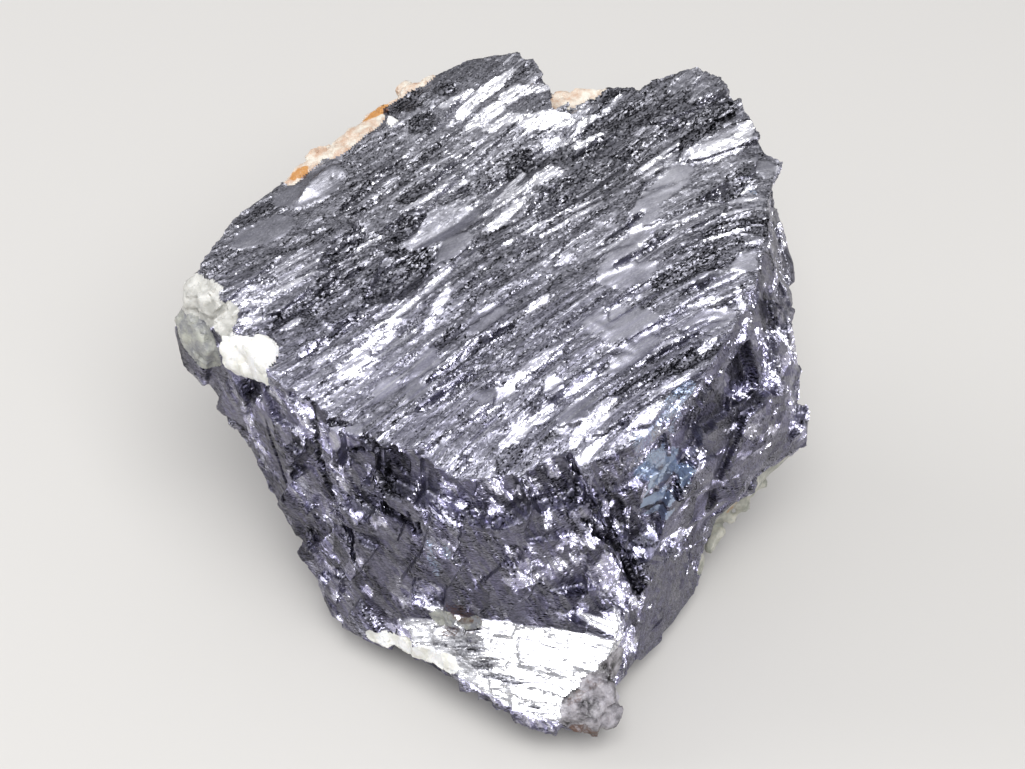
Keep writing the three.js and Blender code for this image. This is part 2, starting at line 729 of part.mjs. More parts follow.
// Keeps the outer shell alone: loose chips fall off and closed pores fill up.
function outerShell(geometry) {
  const { faces, facesAt } = surfaceOf(geometry);
  const shellOf = new Array(faces.length).fill(-1);
  const shells = [];
  faces.forEach((_, first) => {
    if (shellOf[first] >= 0) {
      return;
    }
    const members = [first];
    shellOf[first] = shells.length;
    for (let i = 0; i < members.length; i += 1) {
      for (const near of faces[members[i]].flatMap((corner) => [...facesAt[corner]])) {
        if (shellOf[near] < 0) {
          shellOf[near] = shells.length;
          members.push(near);
        }
      }
    }
    shells.push(members);
  });
  const largest = shells.sort((a, b) => b.length - a.length)[0];
  geometry.setIndex(largest.flatMap((face) => faces[face]));
  return geometry;
}

// Moves the footprint's middle over the origin.
function centred(geometry) {
  geometry.computeBoundingBox();
  const middle = geometry.boundingBox.getCenter(new THREE.Vector3());
  return geometry.translate(-middle.x, -middle.y, 0);
}

function galenaMaterial() {
  return new THREE.MeshStandardMaterial({ color: 0x8c8c96, roughness: 0.3, metalness: 0.9 });
}

const shape = centred(outerShell(withoutSlivers(geometryOf(wholeLump()))));
const lump = new THREE.Mesh(shape, galenaMaterial());
lump.name = 'galena_lump';

const group = new THREE.Group();
group.name = 'galena_specimen';
group.add(lump);

export default group;
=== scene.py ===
"""Galena specimen: a lump of foliated lead ore and the gangue grown on it.

The solid of the lump is rebuilt as an even skin of small squares.  The skin is then broken up the way
galena breaks: long laths on the sheared top, stepped cleavage on the sides, thin plates on the shelf.
Each kind of surface is a piece of its own, and the pieces meet edge to edge.
"""

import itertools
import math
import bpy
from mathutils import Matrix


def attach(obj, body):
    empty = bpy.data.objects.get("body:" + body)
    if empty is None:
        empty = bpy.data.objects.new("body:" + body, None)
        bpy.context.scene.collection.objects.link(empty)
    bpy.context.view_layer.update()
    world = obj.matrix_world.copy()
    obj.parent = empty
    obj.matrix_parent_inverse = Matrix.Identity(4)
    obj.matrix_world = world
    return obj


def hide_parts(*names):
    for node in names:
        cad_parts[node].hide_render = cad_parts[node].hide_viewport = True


bl_info = {
    "name": "Galena Specimen",
    "version": (1, 0, 0),
    "blender": (4, 5, 0),
    "location": "3D View > Sidebar > Galena",
    "description": "Builds the finished surfaces of a galena specimen around its solid",
    "category": "Object",
}

import bmesh
import bpy
import numpy as np
from mathutils import Vector

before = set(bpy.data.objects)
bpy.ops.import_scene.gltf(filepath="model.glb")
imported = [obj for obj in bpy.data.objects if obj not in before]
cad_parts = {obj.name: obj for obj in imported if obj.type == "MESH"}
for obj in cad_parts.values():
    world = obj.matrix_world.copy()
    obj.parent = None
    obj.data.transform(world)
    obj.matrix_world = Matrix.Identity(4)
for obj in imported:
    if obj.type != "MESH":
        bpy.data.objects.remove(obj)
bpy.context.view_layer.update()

LUMP = "galena_lump"
MM = 0.001

# ----------------------------------------
# The lie of the lump, in millimetres
# ----------------------------------------

# Height of the top plane over the origin, and its rise per millimetre.
TOP_HEIGHT = 33.93
TOP_RISE_X = 0.05
TOP_RISE_Y = 0.16

# The cleavage shelf: height at SHELF_Y, rise to the back, and fall to the left of SHELF_X.
SHELF_HEIGHT = 10.5
SHELF_Y = -19.5
SHELF_RISE = 0.66
SHELF_X = 0.8
SHELF_FALL = 0.42

# Plan direction of the foliation seen at places on the top: x, y, degrees from +X.
GRAIN_SIGHTS = (
    (-23, 4, 31), (-17, 2, 24), (-21, 0, 33), (-18, 6, 24), (-14, 10, 34), (-9, 16, 43), (-9, 10, 37),
    (-5, 13, 31), (-3, 21, 47), (0, 17, 47), (-1, 8, 51), (2, 8, 40), (6, 14, 42), (4, 19, 45),
    (9, 18, 49), (11, 14, 42), (15, 13, 37), (18, 21, 49), (19, 17, 53), (22, 18, 31), (22, 14, 33),
    (22, 8, 10), (22, 6, 14), (18, 6, 21), (17, 2, 17), (13, 6, 38), (8, 4, 36), (4, 2, 38), (-1, 1, 49),
    (-7, -1, 44), (-10, -3, 44), (-12, -7, 44), (-7, -10, 49), (-4, -6, 49), (2, -8, 30), (2, -14, 37),
    (8, -14, 44), (14, -13, 44), (12, -10, 35), (18, -7, 37), (17, -4, 26), (11, -5, 27), (6, -4, 38),
    (-14, -7, 35), (-17, -2, 27), (-3, -13, 43),
)

# Laths that catch the light, painted into the tone as painted highlights: x, y of both ends, half width,
# brightness from 0 to 1.
PAINTED_HIGHLIGHT_LATHS = (
    (-5, 20, -2, 21.5, 0.5, 0.85), (-3.5, 18.5, 1.5, 23.5, 0.6, 0.95), (-2.5, 17, 2.5, 21.5, 0.7, 0.95),
    (0.5, 20.5, 5, 22.5, 0.7, 1), (-1, 17, 2, 18.5, 0.6, 1), (2, 18, 7, 18.5, 0.8, 0.95),
    (4.5, 16, 6, 16.5, 0.8, 1), (-1, 8, 2.5, 13, 0.6, 1), (-0.5, 6.5, 2.5, 9.5, 0.5, 1),
    (0.5, 9.5, 5.5, 12.5, 0.6, 0.9), (1, 10, 2, 11, 0.7, 1), (3, 11, 6, 12, 0.5, 0.85),
    (6, 15.5, 9, 18, 0.5, 0.95), (7, 14.5, 9.5, 16, 0.4, 0.85), (12.5, 11.5, 16.5, 14.5, 0.3, 1),
    (13, 11, 16, 13, 0.2, 0.9), (14, 10, 16, 11.5, 0.2, 0.85), (17.5, 13, 20.5, 14.5, 0.7, 0.95),
    (19.5, 12.5, 23, 15.5, 0.7, 0.9), (21.5, 14, 23, 16.5, 0.5, 1), (22, 9.5, 23, 10, 0.5, 0.9),
    (-23.5, -0.5, -20.5, 1.5, 0.4, 0.95), (-20.5, 0, -17, 1.5, 0.5, 0.95),
    (-22.5, -1, -19.5, -0.5, 0.4, 0.9), (-22, -2.5, -20.5, -2, 0.4, 0.85),
    (-18.5, -3.5, -17, -2.5, 0.3, 0.8), (-13, -8, -8.5, -3, 0.8, 1), (-10.5, -4, -6.5, -0.5, 0.2, 0.95),
    (-13, -8.5, -10.5, -6.5, 1, 1), (-15.5, -7.5, -13, -5.5, 0.4, 0.9), (-6, 0, -4, 2.5, 0.5, 0.85),
    (-6, -4, -4, 0.5, 0.5, 0.85), (-5, -8, -1.5, -5, 0.3, 0.9), (-8, -11.5, -5.5, -8.5, 0.3, 0.85),
    (0.5, -15.5, 5, -11.5, 0.6, 1), (2, -9, 5.5, -6.5, 0.6, 0.9), (0.5, -10, 3, -9, 0.3, 0.9),
    (3, -2.5, 4.5, -1, 0.5, 0.95), (6, -10.5, 8.5, -9, 0.5, 1), (6.5, -15.5, 10, -11.5, 0.7, 0.95),
    (7, -17, 9, -15, 0.5, 1), (11.5, -14.5, 15.5, -11.5, 0.9, 0.9), (12, -16.5, 13.5, -14.5, 0.8, 0.8),
    (21, -0.5, 21.5, -2.5, 0.4, 0.95), (22, -2.5, 22, -3.5, 0.4, 1), (17.5, -7, 19, -5.5, 0.3, 0.85),
    (17, -2.5, 19.5, -1.5, 0.3, 0.8), (5.5, 7.5, 9.5, 9.5, 0.2, 0.8), (0.5, 4.5, 5.5, 7.5, 0.2, 0.8),
    (4, 5.5, 9.5, 8.5, 0.2, 0.75), (9.5, 18, 11.5, 20.5, 0.2, 0.85), (8.5, 3, 12.5, 5.5, 0.2, 0.7),
    (12.5, 5, 17, 6.5, 0.2, 0.75), (18, 4, 22.5, 5.5, 0.2, 0.8), (18.5, 8, 24.5, 9, 0.2, 0.85),
    (20, 7, 24.5, 8, 0.2, 0.8), (-8, 8.5, -2.5, 12, 0.3, 0.75), (-5, 6, 0.5, 9.5, 0.3, 0.8),
    (-17, 1.5, -12, 4, 0.2, 0.8), (-20, 2, -16, 4.5, 0.2, 0.75), (-14.5, 3.5, -10, 6, 0.2, 0.7),
    (-2, -13, 0.5, -11, 0.3, 0.8), (2, -14, 5, -12.5, 0.3, 0.85), (9, -9, 12.5, -7, 0.3, 0.85),
    (12.5, -7, 16, -5.5, 0.3, 0.8), (13, -11, 16.5, -9.5, 0.3, 0.85),
)

# Pits and broken laths, sunk into the relief and painted dark in the tone as painted shade, written the
# same way.
PAINTED_SHADE_POCKETS = (
    (-24.5, 3, -19, 6, 2.2, 0.28), (-20.5, 7, -13, 11, 2.4, 0.27), (-15, 6.5, -10, 9, 1.6, 0.28),
    (10, 19, 15, 22, 2.4, 0.22), (4, 11, 9, 14, 2.2, 0.2), (7, 14, 13, 18.5, 2.2, 0.24),
    (-14, 12.5, -9, 16, 2, 0.27), (-8.5, 0.5, -6.5, 4.5, 1.9, 0.06), (-13, 10, -11.5, 13, 1.1, 0.2),
    (-9.5, 20, -7.5, 22, 1.3, 0.1), (-7.5, 17.5, -6, 19, 1.1, 0.1), (-5.5, 21.5, -4, 22.5, 0.8, 0.15),
    (-8.5, 9.5, -5.5, 11, 0.8, 0.12), (1.5, 13, 3, 15, 1.1, 0.08), (4, 14, 5.5, 14.5, 0.8, 0.12),
    (-15, 3.5, -11.5, 5.5, 0.9, 0.16), (-16.5, -2.5, -6.5, 2.5, 2.1, 0.22),
    (-19.5, -3.5, -17, -1, 0.9, 0.2), (9, 20.5, 11.5, 21.5, 0.9, 0.1), (8.5, 15, 12, 18.5, 1.9, 0.14),
    (13, 17.5, 17.5, 20, 1.3, 0.16), (5.5, 9, 14, 15.5, 2.5, 0.22), (17, 14.5, 22.5, 21, 1, 0.1),
    (20.5, 9.5, 23, 12, 0.8, 0.16), (18.5, 5, 24.5, 6.5, 0.6, 0.12), (14, 0, 22, 3.5, 0.9, 0.12),
    (15, 3, 21.5, 4.5, 0.5, 0.2), (9, -12, 12.5, -9.5, 0.4, 0.1), (12.5, -10, 17.5, -7, 0.4, 0.1),
    (15.5, -9, 20, -6, 0.4, 0.1), (11, -3, 13.5, -2, 0.4, 0.2), (21, -1.5, 21.5, -0.5, 0.6, 0.15),
    (5.5, -1.5, 7, 0.5, 0.8, 0.16), (-1, 4, 1.5, 6.5, 0.9, 0.14), (-1.5, -1, 4, 3, 1.3, 0.26),
    (0, 4, 9.5, 9.5, 1.5, 0.28), (4, -2, 9, 2.5, 1.5, 0.3), (0.5, -17.5, 2, -15.5, 0.8, 0.15),
    (-23, 8.5, -19.5, 10.5, 0.9, 0.16), (-10, 5.5, -6.5, 8, 0.9, 0.16), (-5, -6, -3, -4, 0.9, 0.2),
    (-1.5, -6, 2, -4, 0.8, 0.3), (-8.5, 12.5, -5, 15, 0.8, 0.22), (-5, 9.5, 0.5, 13, 0.5, 0.2),
    (15, 16.5, 18.5, 19, 0.8, 0.2), (18.5, 17.5, 21, 20, 0.6, 0.2), (22, 5, 25, 6, 0.5, 0.14),
    (-26.5, 3, -22.5, 5, 0.6, 0.25), (-19, 5, -14.5, 6.5, 0.6, 0.2), (11, 6.5, 13.5, 9.5, 0.8, 0.2),
    (18, 8, 20, 10, 0.6, 0.25), (-15.1, -11.1, -14.3, -12.4, 0.25, 0.03),
    (-14.3, -12.4, -12.7, -12.5, 0.25, 0.03), (-12.7, -12.5, -11.7, -13.9, 0.25, 0.03),
    (-11.7, -13.9, -10, -15.1, 0.25, 0.04),
)

# Even plates without laths on them, written the same way, their tone painted to the light and shade that
# each one reflects.  They lie over the laths and the pits.
EVEN_PLATES = (
    (-23, 6, -18.5, 8, 1.3, 0.4), (17, 12, 13.5, 8.5, 1.3, 0.66), (13.5, 8.5, 12.5, 4.5, 1.2, 0.64),
    (12.5, 4.5, 9.5, 0.5, 1.2, 0.62), (9.5, 0.5, 13.5, 1.5, 1.3, 0.6), (8.5, -4, 13.5, -4, 1.7, 0.62),
    (-19, 10.5, -14.5, 13, 1.9, 0.34), (-7.5, 5.5, -2, 9, 1.5, 0.5), (-5, 3.5, -2.5, 5.5, 1.1, 0.5),
    (21, 1, 22.5, 3, 0.9, 0.62), (4.5, -10.5, 5.5, -9.5, 0.9, 0.66), (-13, -15, -11.5, -13.5, 0.9, 0.66),
    (-15, -13.5, -13, -13, 0.6, 0.6), (16.5, -4.5, 20.5, -3, 0.9, 0.5), (-1.5, -11, 2, -10.5, 0.9, 0.5),
    (-10, -10.5, -8.5, -8.5, 0.9, 0.55), (-7, -10.5, -5.5, -6, 1.1, 0.5), (-2, -4, 0.5, -2, 1.1, 0.45),
    (5.5, -14, 8, -11.5, 0.8, 0.5), (10, -8.5, 13.5, -5.5, 0.9, 0.5), (17, -0.5, 20.5, 1, 0.7, 0.5),
    (23.3, 12.4, 25, 12.2, 1, 0.55),
)

# Cleavage faces of the sides that catch the light, painted into the tone as painted highlights: both
# ends, half width, brightness.
PAINTED_SIDE_GLINTS = (
    ((0, -18.5, 27.5), (0.5, -18.5, 26.5), 0.8, 1), ((-0.5, -18.5, 30), (0.5, -18.5, 29), 0.7, 0.9),
    ((1, -18.5, 28.5), (3, -17, 28.5), 0.4, 0.85), ((5.5, -19, 23.5), (8.5, -17, 21.5), 0.5, 0.95),
    ((5.5, -19.5, 22.5), (8.5, -18.5, 22.5), 0.8, 0.85), ((1, -19.5, 22), (4.5, -19, 19.5), 0.5, 0.75),
    ((1.9, -20.2, 17.8), (4.3, -19.4, 18.4), 0.8, 0.7), ((4.3, -19.4, 18.6), (7, -18.5, 19.6), 0.7, 0.7),
    ((1.2, -20, 18.8), (3.4, -19.6, 19.6), 0.6, 0.75), ((0.5, -20, 19), (2, -20, 17.5), 0.4, 0.8),
    ((9.5, -16.5, 24.5), (10, -16, 23.5), 0.6, 1), ((10.5, -16.5, 22), (13, -14, 14.5), 0.5, 0.9),
    ((9.5, -19, 20), (11.5, -18, 13), 1.1, 0.8), ((9.5, -18.5, 11.5), (11, -19, 10.5), 0.8, 0.8),
    ((12.5, -18, 12.5), (13.5, -17, 10), 0.6, 1), ((10, -19.5, 10.5), (12.5, -18.5, 5), 0.9, 1),
    ((5.5, -20.5, 14), (7, -19, 12.5), 0.4, 0.8), ((7.5, -19, 12), (8, -18.5, 13.5), 0.4, 0.7),
    ((4.5, -16.5, 31), (5.5, -16.5, 28.5), 0.4, 0.85), ((4.5, -18, 26.5), (4.5, -19, 24.5), 0.3, 0.9),
    ((7.5, -16, 25.5), (8, -18.5, 26.5), 0.4, 0.8), ((8.5, -15.5, 21.5), (9.5, -15.5, 19.5), 0.4, 0.7),
    ((-3, -17, 26), (-2.5, -17.5, 25.5), 0.6, 1), ((-6, -13.5, 32), (-4.5, -14.5, 31.5), 0.8, 0.8),
    ((-4.5, -16, 27.5), (-3.5, -17, 27), 0.5, 0.9), ((-14, -14, 27.5), (-13.5, -12, 21), 0.5, 0.9),
    ((-15.5, -11, 28), (-14, -13, 27), 0.4, 0.85), ((-22.5, -5.5, 24.5), (-22.5, -4, 17.5), 0.4, 0.9),
    ((-22, -4, 18), (-20.5, -6, 18.5), 0.4, 0.95), ((-20.5, -5.5, 26), (-20, -7.5, 26), 0.6, 0.9),
    ((-19.5, -7, 28.5), (-18.5, -8, 29), 0.6, 1), ((-18.5, -8.5, 29), (-17.5, -10, 30.5), 0.4, 0.95),
    ((-17, -10.5, 32), (-16.5, -10.5, 27.5), 0.6, 0.9), ((-17.5, -10, 26.5), (-16, -11, 27), 0.5, 0.8),
    ((-11, -16, 21), (-9.5, -16.5, 22.5), 0.3, 0.9), ((-12.5, -15, 21.5), (-11.5, -15, 21), 0.4, 0.8),
    ((-16, -10.5, 7.5), (-14.5, -12.5, 9.5), 0.4, 0.85), ((-13, -15, 15), (-12, -16, 15.5), 0.4, 0.8),
    ((-12, -15, 10.5), (-11, -15.5, 10.5), 0.5, 0.8), ((-8.5, -17, 10.5), (-5, -16.5, 12.5), 0.8, 0.6),
    ((-15, -14, 9), (-14.5, -14, 7), 0.5, 0.7), ((-4.5, -19, 23), (-3.5, -19, 22), 0.3, 0.8),
    ((-11, -13.5, 26.5), (-10, -14, 25), 0.4, 0.7), ((-7, -15, 31.5), (-5.5, -15.5, 31), 0.6, 0.75),
    ((-8.5, -15, 31.5), (-7.5, -16, 31.5), 0.5, 0.75), ((15, -12.5, 14.5), (18, -9.5, 11.5), 0.5, 0.95),
    ((15, -13.5, 14), (17, -11, 12), 0.3, 1), ((16.5, -11.5, 17), (17, -11, 18.5), 0.3, 0.8),
    ((18, -10.5, 24.5), (18, -11.5, 23), 0.4, 0.85), ((17, -10, 24.5), (17.5, -10.5, 24.5), 0.4, 0.85),
    ((21.5, -6, 26.5), (22.5, -4, 25.5), 0.5, 0.9), ((20, -8.5, 25), (23.5, -7, 23.5), 0.3, 0.8),
    ((20, -9, 22.5), (25, -5, 18.5), 0.3, 0.8), ((23.5, -7, 22), (25.5, -4, 20), 0.4, 0.8),
    ((25.5, 2, 26.5), (25.5, -2.5, 26), 0.7, 0.9), ((26.5, 2.5, 26), (27.5, 1.5, 22.5), 0.6, 0.8),
    ((27, 0.5, 19.5), (28.5, -2, 16), 0.6, 0.75), ((24, -2.5, 27.5), (25, -3.5, 24.5), 0.5, 0.75),
    ((18, -11.5, 20), (22, -8.5, 18), 0.2, 0.7), ((20.5, -6, 8.5), (25.5, -3, 9.5), 0.2, 0.6),
    ((19, -11, 20), (20.5, -8.5, 17.5), 0.2, 0.8), ((23, -2, 31), (23.5, -2, 28.5), 0.5, 0.6),
    ((20.5, -5.5, 26.5), (21.5, -6, 26.5), 0.4, 0.7), ((23.5, 1.5, 33), (25, 3, 31), 0.1, 0.9),
    ((26, 5, 29.5), (26.5, 4, 28), 0.4, 0.6), ((-10.2, -17, 6.8), (-7.5, -18.2, 7.4), 0.7, 1),
    ((-7.6, -18.4, 7.6), (-5.4, -19, 8.2), 0.7, 1), ((16.5, -10.5, 32), (17.5, -10, 32.5), 0.4, 0.8),
    ((16.5, -12.5, 11), (19, -8, 8.5), 0.2, 0.5), ((-3.4, -22.2, 6.6), (-0.4, -23.8, 6.4), 0.4, 0.95),
    ((-1.6, -23.6, 6.2), (2, -25.4, 5.8), 0.4, 0.95), ((1.2, -25.3, 6.4), (5.8, -26.5, 5.4), 0.5, 0.95),
    ((2.6, -25.9, 5.2), (5.2, -26.5, 4.4), 0.3, 0.8),
)

# Cracks and cleavage faces of the sides painted dark in the tone as painted shade, written the same way.
SIDE_PAINTED_SHADE = (
    ((7, -14.5, 28), (8.5, -18.5, 26.5), 0.8, 0.03), ((8.5, -18.5, 26.5), (11, -15, 16.5), 0.7, 0.03),
    ((11, -15, 16.5), (13, -16.5, 13), 0.5, 0.04), ((13, -16.5, 13), (13.5, -17.5, 10.5), 0.4, 0.05),
    ((9.5, -15.5, 25.5), (11, -16, 22), 0.5, 0.05), ((11, -16, 22), (14, -14, 14.5), 0.5, 0.06),
    ((-16, -11, 31.5), (-15.5, -11, 27), 0.4, 0.04), ((-15.5, -11, 27), (-15, -11, 22.5), 0.3, 0.04),
    ((-15, -11, 22.5), (-14.5, -11.5, 20.5), 0.3, 0.05),
    ((-10, -15, 31.5), (-9.5, -15.5, 26.5), 0.5, 0.04), ((-9.5, -15.5, 26.5), (-8, -17, 26), 0.4, 0.05),
    ((-8.5, -15, 31), (-7.5, -15.5, 28), 0.6, 0.06), ((-12.5, -14, 22), (-12, -15.5, 18), 0.3, 0.05),
    ((-7.5, -17.5, 25), (-6.5, -17.5, 21.5), 0.2, 0.05),
    ((-12.5, -13, 27.5), (-10, -15.5, 30.5), 0.4, 0.06),
    ((-13.5, -12, 31), (-11.5, -13.5, 31.5), 0.2, 0.04),
    ((-11.5, -13.5, 31.5), (-10.5, -15, 31), 0.2, 0.04), ((-12, -14.5, 21.5), (-7, -18, 17.5), 2.5, 0.16),
    ((-2, -19, 23), (0, -20, 17), 1.9, 0.22), ((1, -18.5, 28), (5.5, -18.5, 24), 1.9, 0.22),
    ((0.5, -20, 15.5), (6.5, -20.5, 13), 1.3, 0.22), ((1.5, -20, 18.5), (5.5, -20.5, 16), 0.9, 0.22),
    ((14, -15, 14.5), (18, -11.5, 5), 2.1, 0.25), ((5.5, -16.5, 29.5), (6.5, -17.5, 27), 1.1, 0.12),
    ((17.5, -10, 31), (21.5, -8.5, 23.5), 2.3, 0.17), ((21.5, -8.5, 22), (27, -3, 15.5), 1.9, 0.24),
    ((20, -9.5, 19), (22, -8, 16), 1.9, 0.22), ((17, -12, 22.5), (19, -9.5, 7), 1.1, 0.22),
    ((23.5, 3.5, 35), (24.5, 3.5, 32.5), 0.9, 0.2), ((23.5, 1, 32), (25, 2, 26.5), 1.1, 0.16),
    ((23, 0, 32.5), (23.5, -1, 30), 0.6, 0.14), ((21.5, -4.5, 31), (23, -5.5, 25.5), 1.3, 0.12),
    ((-21, -5.5, 21.5), (-17.5, -10, 21), 1.7, 0.15), ((-21, -6, 14.5), (-15, -13, 11.5), 2.1, 0.16),
    ((-10.5, -16, 9.5), (-2.5, -18.5, 10.5), 1.5, 0.2),
    ((-4.5, -14.5, 31.5), (-3.5, -17, 30.5), 0.8, 0.25), ((-5, -19, 20), (-3, -18, 11.5), 1.3, 0.18),
    ((0.5, -19.5, 10.5), (5.5, -20, 10.5), 0.3, 0.02), ((5.5, -20, 10.5), (9.5, -20.5, 10), 0.2, 0.03),
    ((-26.5, -1.5, 26), (-24, -3.5, 24), 0.9, 0.2), ((-23, -4, 25.5), (-21, -5, 25.5), 0.8, 0.12),
    ((5.5, -19.5, 16.5), (9.5, -19, 11), 0.9, 0.2), ((9.5, -18.5, 12.5), (10.5, -19, 12), 0.6, 0.2),
    ((11.5, -18, 13), (13, -18, 8.5), 0.5, 0.15), ((-6.9, -18.6, 8.2), (-3.2, -20.6, 8.4), 0.3, 0.08),
    ((-15.4, -10.8, 22), (-14.3, -11.7, 19.1), 0.3, 0.04),
    ((-9.6, -15.2, 30), (-9.2, -15.7, 25.7), 0.35, 0.04),
    ((-9.2, -15.7, 25.7), (-6.8, -17.2, 21.3), 0.3, 0.04),
    ((-13.2, -13.6, 20), (-12.4, -14.4, 15.4), 0.25, 0.05),
    ((-20.4, -6.6, 24), (-19.3, -8.9, 15.3), 0.25, 0.06),
)

# Smooth cleavage faces of the sides, over which no grain shows, written the same way, their tone painted
# to the light and shade that each one reflects.
SIDE_PLATES = (
    ((-14, -12.2, 29), (-12, -13.2, 29), 1.1, 0.62), ((-10, -16.4, 22.4), (-8.3, -16.6, 18), 1.5, 0.26),
    ((-11.2, -15.3, 15.5), (-9.4, -16.3, 12.5), 1.2, 0.24),
    ((23.4, 3.4, 34.6), (24.4, 2.4, 31.8), 1, 0.34), ((15.4, -13.5, 10.2), (17.6, -10.9, 7.2), 1.9, 0.26),
    ((14.8, -16.1, 9.9), (16.6, -13.6, 5.2), 2, 0.27), ((13.8, -17, 9), (14.6, -17.6, 4.5), 1.4, 0.26),
    ((14, -17.8, 5), (18.4, -11.6, 4.6), 1.9, 0.28), ((12.8, -18.8, 3.2), (16, -14.8, 4.2), 2.2, 0.28),
    ((15.6, -14.6, 4.2), (19.6, -10, 3.6), 2.2, 0.26), ((15, -14.8, 9.8), (16.6, -13, 9.4), 1.3, 0.26),
    ((0.4, -19, 25.4), (2.2, -19.6, 23.4), 1.1, 0.28),
    ((-2.2, -18.7, 20.5), (0.4, -19.9, 17.8), 1.1, 0.27),
    ((3.9, -19.2, 20.3), (5.2, -19.6, 17.2), 1, 0.28),
    ((17.7, -10.5, 27.6), (19.8, -8.9, 23.2), 1.4, 0.26),
    ((21.9, -8, 19.6), (24.4, -5.4, 16.6), 1.2, 0.32),
)

# Blue tarnish of the front: both ends, half width, strength.
BLUE_TARNISH = (
    ((12.5, -13.5, 26), (15.4, -11.3, 25.1), 1.6, 0.7),
    ((13, -14.5, 23.5), (16.6, -11.2, 22.8), 1.8, 0.9),
    ((13.5, -13.5, 20.5), (15.2, -12.2, 19.8), 1.5, 0.9),
    ((14.7, -12.1, 17.4), (14.6, -12.6, 18.6), 1, 0.7), ((11.4, -15.2, 30.6), (13.9, -13, 31.8), 1, 0.35),
    ((13.9, -13, 31.9), (16.6, -9.8, 32.7), 0.9, 0.5), ((15, -11.5, 28), (15.5, -12, 31), 0.9, 0.5),
    ((-5.8, -18.2, 21.9), (-5.2, -18.8, 17.6), 0.6, 0.35),
    ((-4.3, -19.1, 22.4), (-3.9, -19, 20.2), 0.4, 0.35), ((22.5, 9.5, 36.5), (23.2, 9.8, 36.6), 0.5, 0.5),
)

# Rust on the shelf root and the tip, ochre on the crust and the seam: both ends, half width, strength.
RUST_STAINS = (
    ((-3.6, -18.2, 12), (-2.6, -18.5, 10.6), 0.6, 0.6),
    ((-3.6, -18.2, 9.9), (-2.2, -19.2, 9.7), 0.8, 0.4), ((-5, -19, 9), (-3.6, -19, 9.5), 0.6, 0.5),
    ((9.6, -26.2, 3.6), (6.8, -26.2, 4.6), 0.8, 0.65), ((6.4, -25.2, 6.8), (8.6, -23.6, 7.8), 0.4, 0.4),
    ((9.5, -23.5, 8), (8, -24, 7.5), 0.6, 0.35), ((21.8, -5, 8.4), (22.8, -5, 10.2), 0.6, 0.5),
    ((-12, 19.2, 35.9), (-10, 21, 35.9), 0.9, 0.9), ((-18.4, 12.8, 34.6), (-17, 13.7, 34.8), 0.5, 0.75),
    ((-5.2, -18.4, 11.4), (-1.4, -19, 9.8), 1.2, 0.3), ((-4, -18.3, 11.2), (-2.4, -18.6, 10.4), 0.8, 0.5),
)

# Gangue grown on the ore: both ends, radius, and the kind of mineral.
GANGUE = (
    ((-27.2, 2.3, 30.4), (-25.2, 0.8, 31.2), 2, "quartz"),
    ((-25.2, 0.8, 31.2), (-23.2, -1.6, 31.6), 1.4, "quartz"),
    ((-27.8, 1.4, 28), (-25.8, -0.8, 27.2), 2, "clear"),
    ((-22.6, -4.4, 30), (-20.2, -5.8, 31.2), 2.1, "spar"),
    ((-11.2, -16.8, 5), (-8.3, -18.1, 5.6), 0.8, "spar"),
    ((-8.3, -18.1, 5.6), (-6, -19.5, 6.6), 1, "spar"), ((-6, -19.5, 6.6), (-3.9, -21.1, 7), 0.8, "spar"),
    ((-9.5, 18.1, 36.6), (-9.3, 18.3, 36.6), 0.4, "spar"),
    ((-18.4, 13, 34.4), (-12.4, 19.2, 35.2), 0.8, "crust"),
    ((-12.4, 19.2, 35), (-9.4, 22, 35.4), 1.1, "crust"),
    ((-14.6, 16.2, 34.8), (-11.4, 19.4, 35.4), 1.5, "crust"),
    ((-9.4, 22.4, 35.8), (-6.4, 23.9, 36.2), 1, "crust"),
    ((-17.2, 13.3, 32.8), (-9.8, 20.8, 33.6), 1.8, "crust"),
    ((7.8, 21.4, 36.8), (9.6, 21.6, 37), 0.7, "crust"),
    ((5.9, 20.8, 36.8), (7.8, 21.4, 36.8), 1.1, "crust"),
    ((9.4, -23.7, 6.8), (10.4, -21.7, 7.2), 2, "tip"), ((9.4, -23.7, 6.8), (7.4, -25.3, 5.8), 1.9, "tip"),
    ((7.4, -25.3, 5.8), (10.1, -25.1, 4.6), 1.9, "tip"),
    ((19.6, -7.9, 4.9), (21, -4.8, 5.9), 1.5, "seam"), ((21, -4.8, 5.9), (22.8, -4.4, 9.3), 1.8, "seam"),
    ((22.8, -4.4, 9.3), (25, -4.2, 12.6), 1.6, "seam"),
    ((-5.2, -18, 9.8), (-4.3, -18.4, 10.2), 0.8, "clear"),
    ((-3, -18.9, 10.2), (-1.8, -19, 10.6), 0.6, "clear"),
    ((23.2, -3.6, 8.2), (25.4, -2.8, 10.8), 1.5, "seam"),
    ((25, -3.5, 12), (26.6, -2.8, 13.2), 0.9, "seam"),
)

SEED = 7
TABLE_SIZE = 32

# Draws of each cell of the lattice: 0 to 2 place its grain, 3 to 5 lean it, 6 lifts it and 7 tones it.
DRAWS = 8
RANDOM = np.random.default_rng(SEED).random((TABLE_SIZE, TABLE_SIZE, TABLE_SIZE, DRAWS))


# ----------------------------------------
# What a user may change
# ----------------------------------------


def hex_color(text):
    """Linear colour of an sRGB hex value such as #8c8c94."""
    channels = [int(text[i:i + 2], 16) / 255 for i in (1, 3, 5)]
    return [c / 12.92 if c <= 0.04045 else ((c + 0.055) / 1.055) ** 2.4 for c in channels]


def color_property(name, description, text):
    return bpy.props.FloatVectorProperty(
        name=name, description=description, subtype="COLOR", size=3, min=0, max=1,
        default=hex_color(text),
    )


def length_property(name, description, millimetres):
    return bpy.props.FloatProperty(
        name=name, description=description, unit="LENGTH", subtype="DISTANCE", min=0,
        default=millimetres * MM,
    )


def power_property(name, description, watts):
    return bpy.props.FloatProperty(
        name=name, description=description, unit="POWER", min=0, default=watts
    )


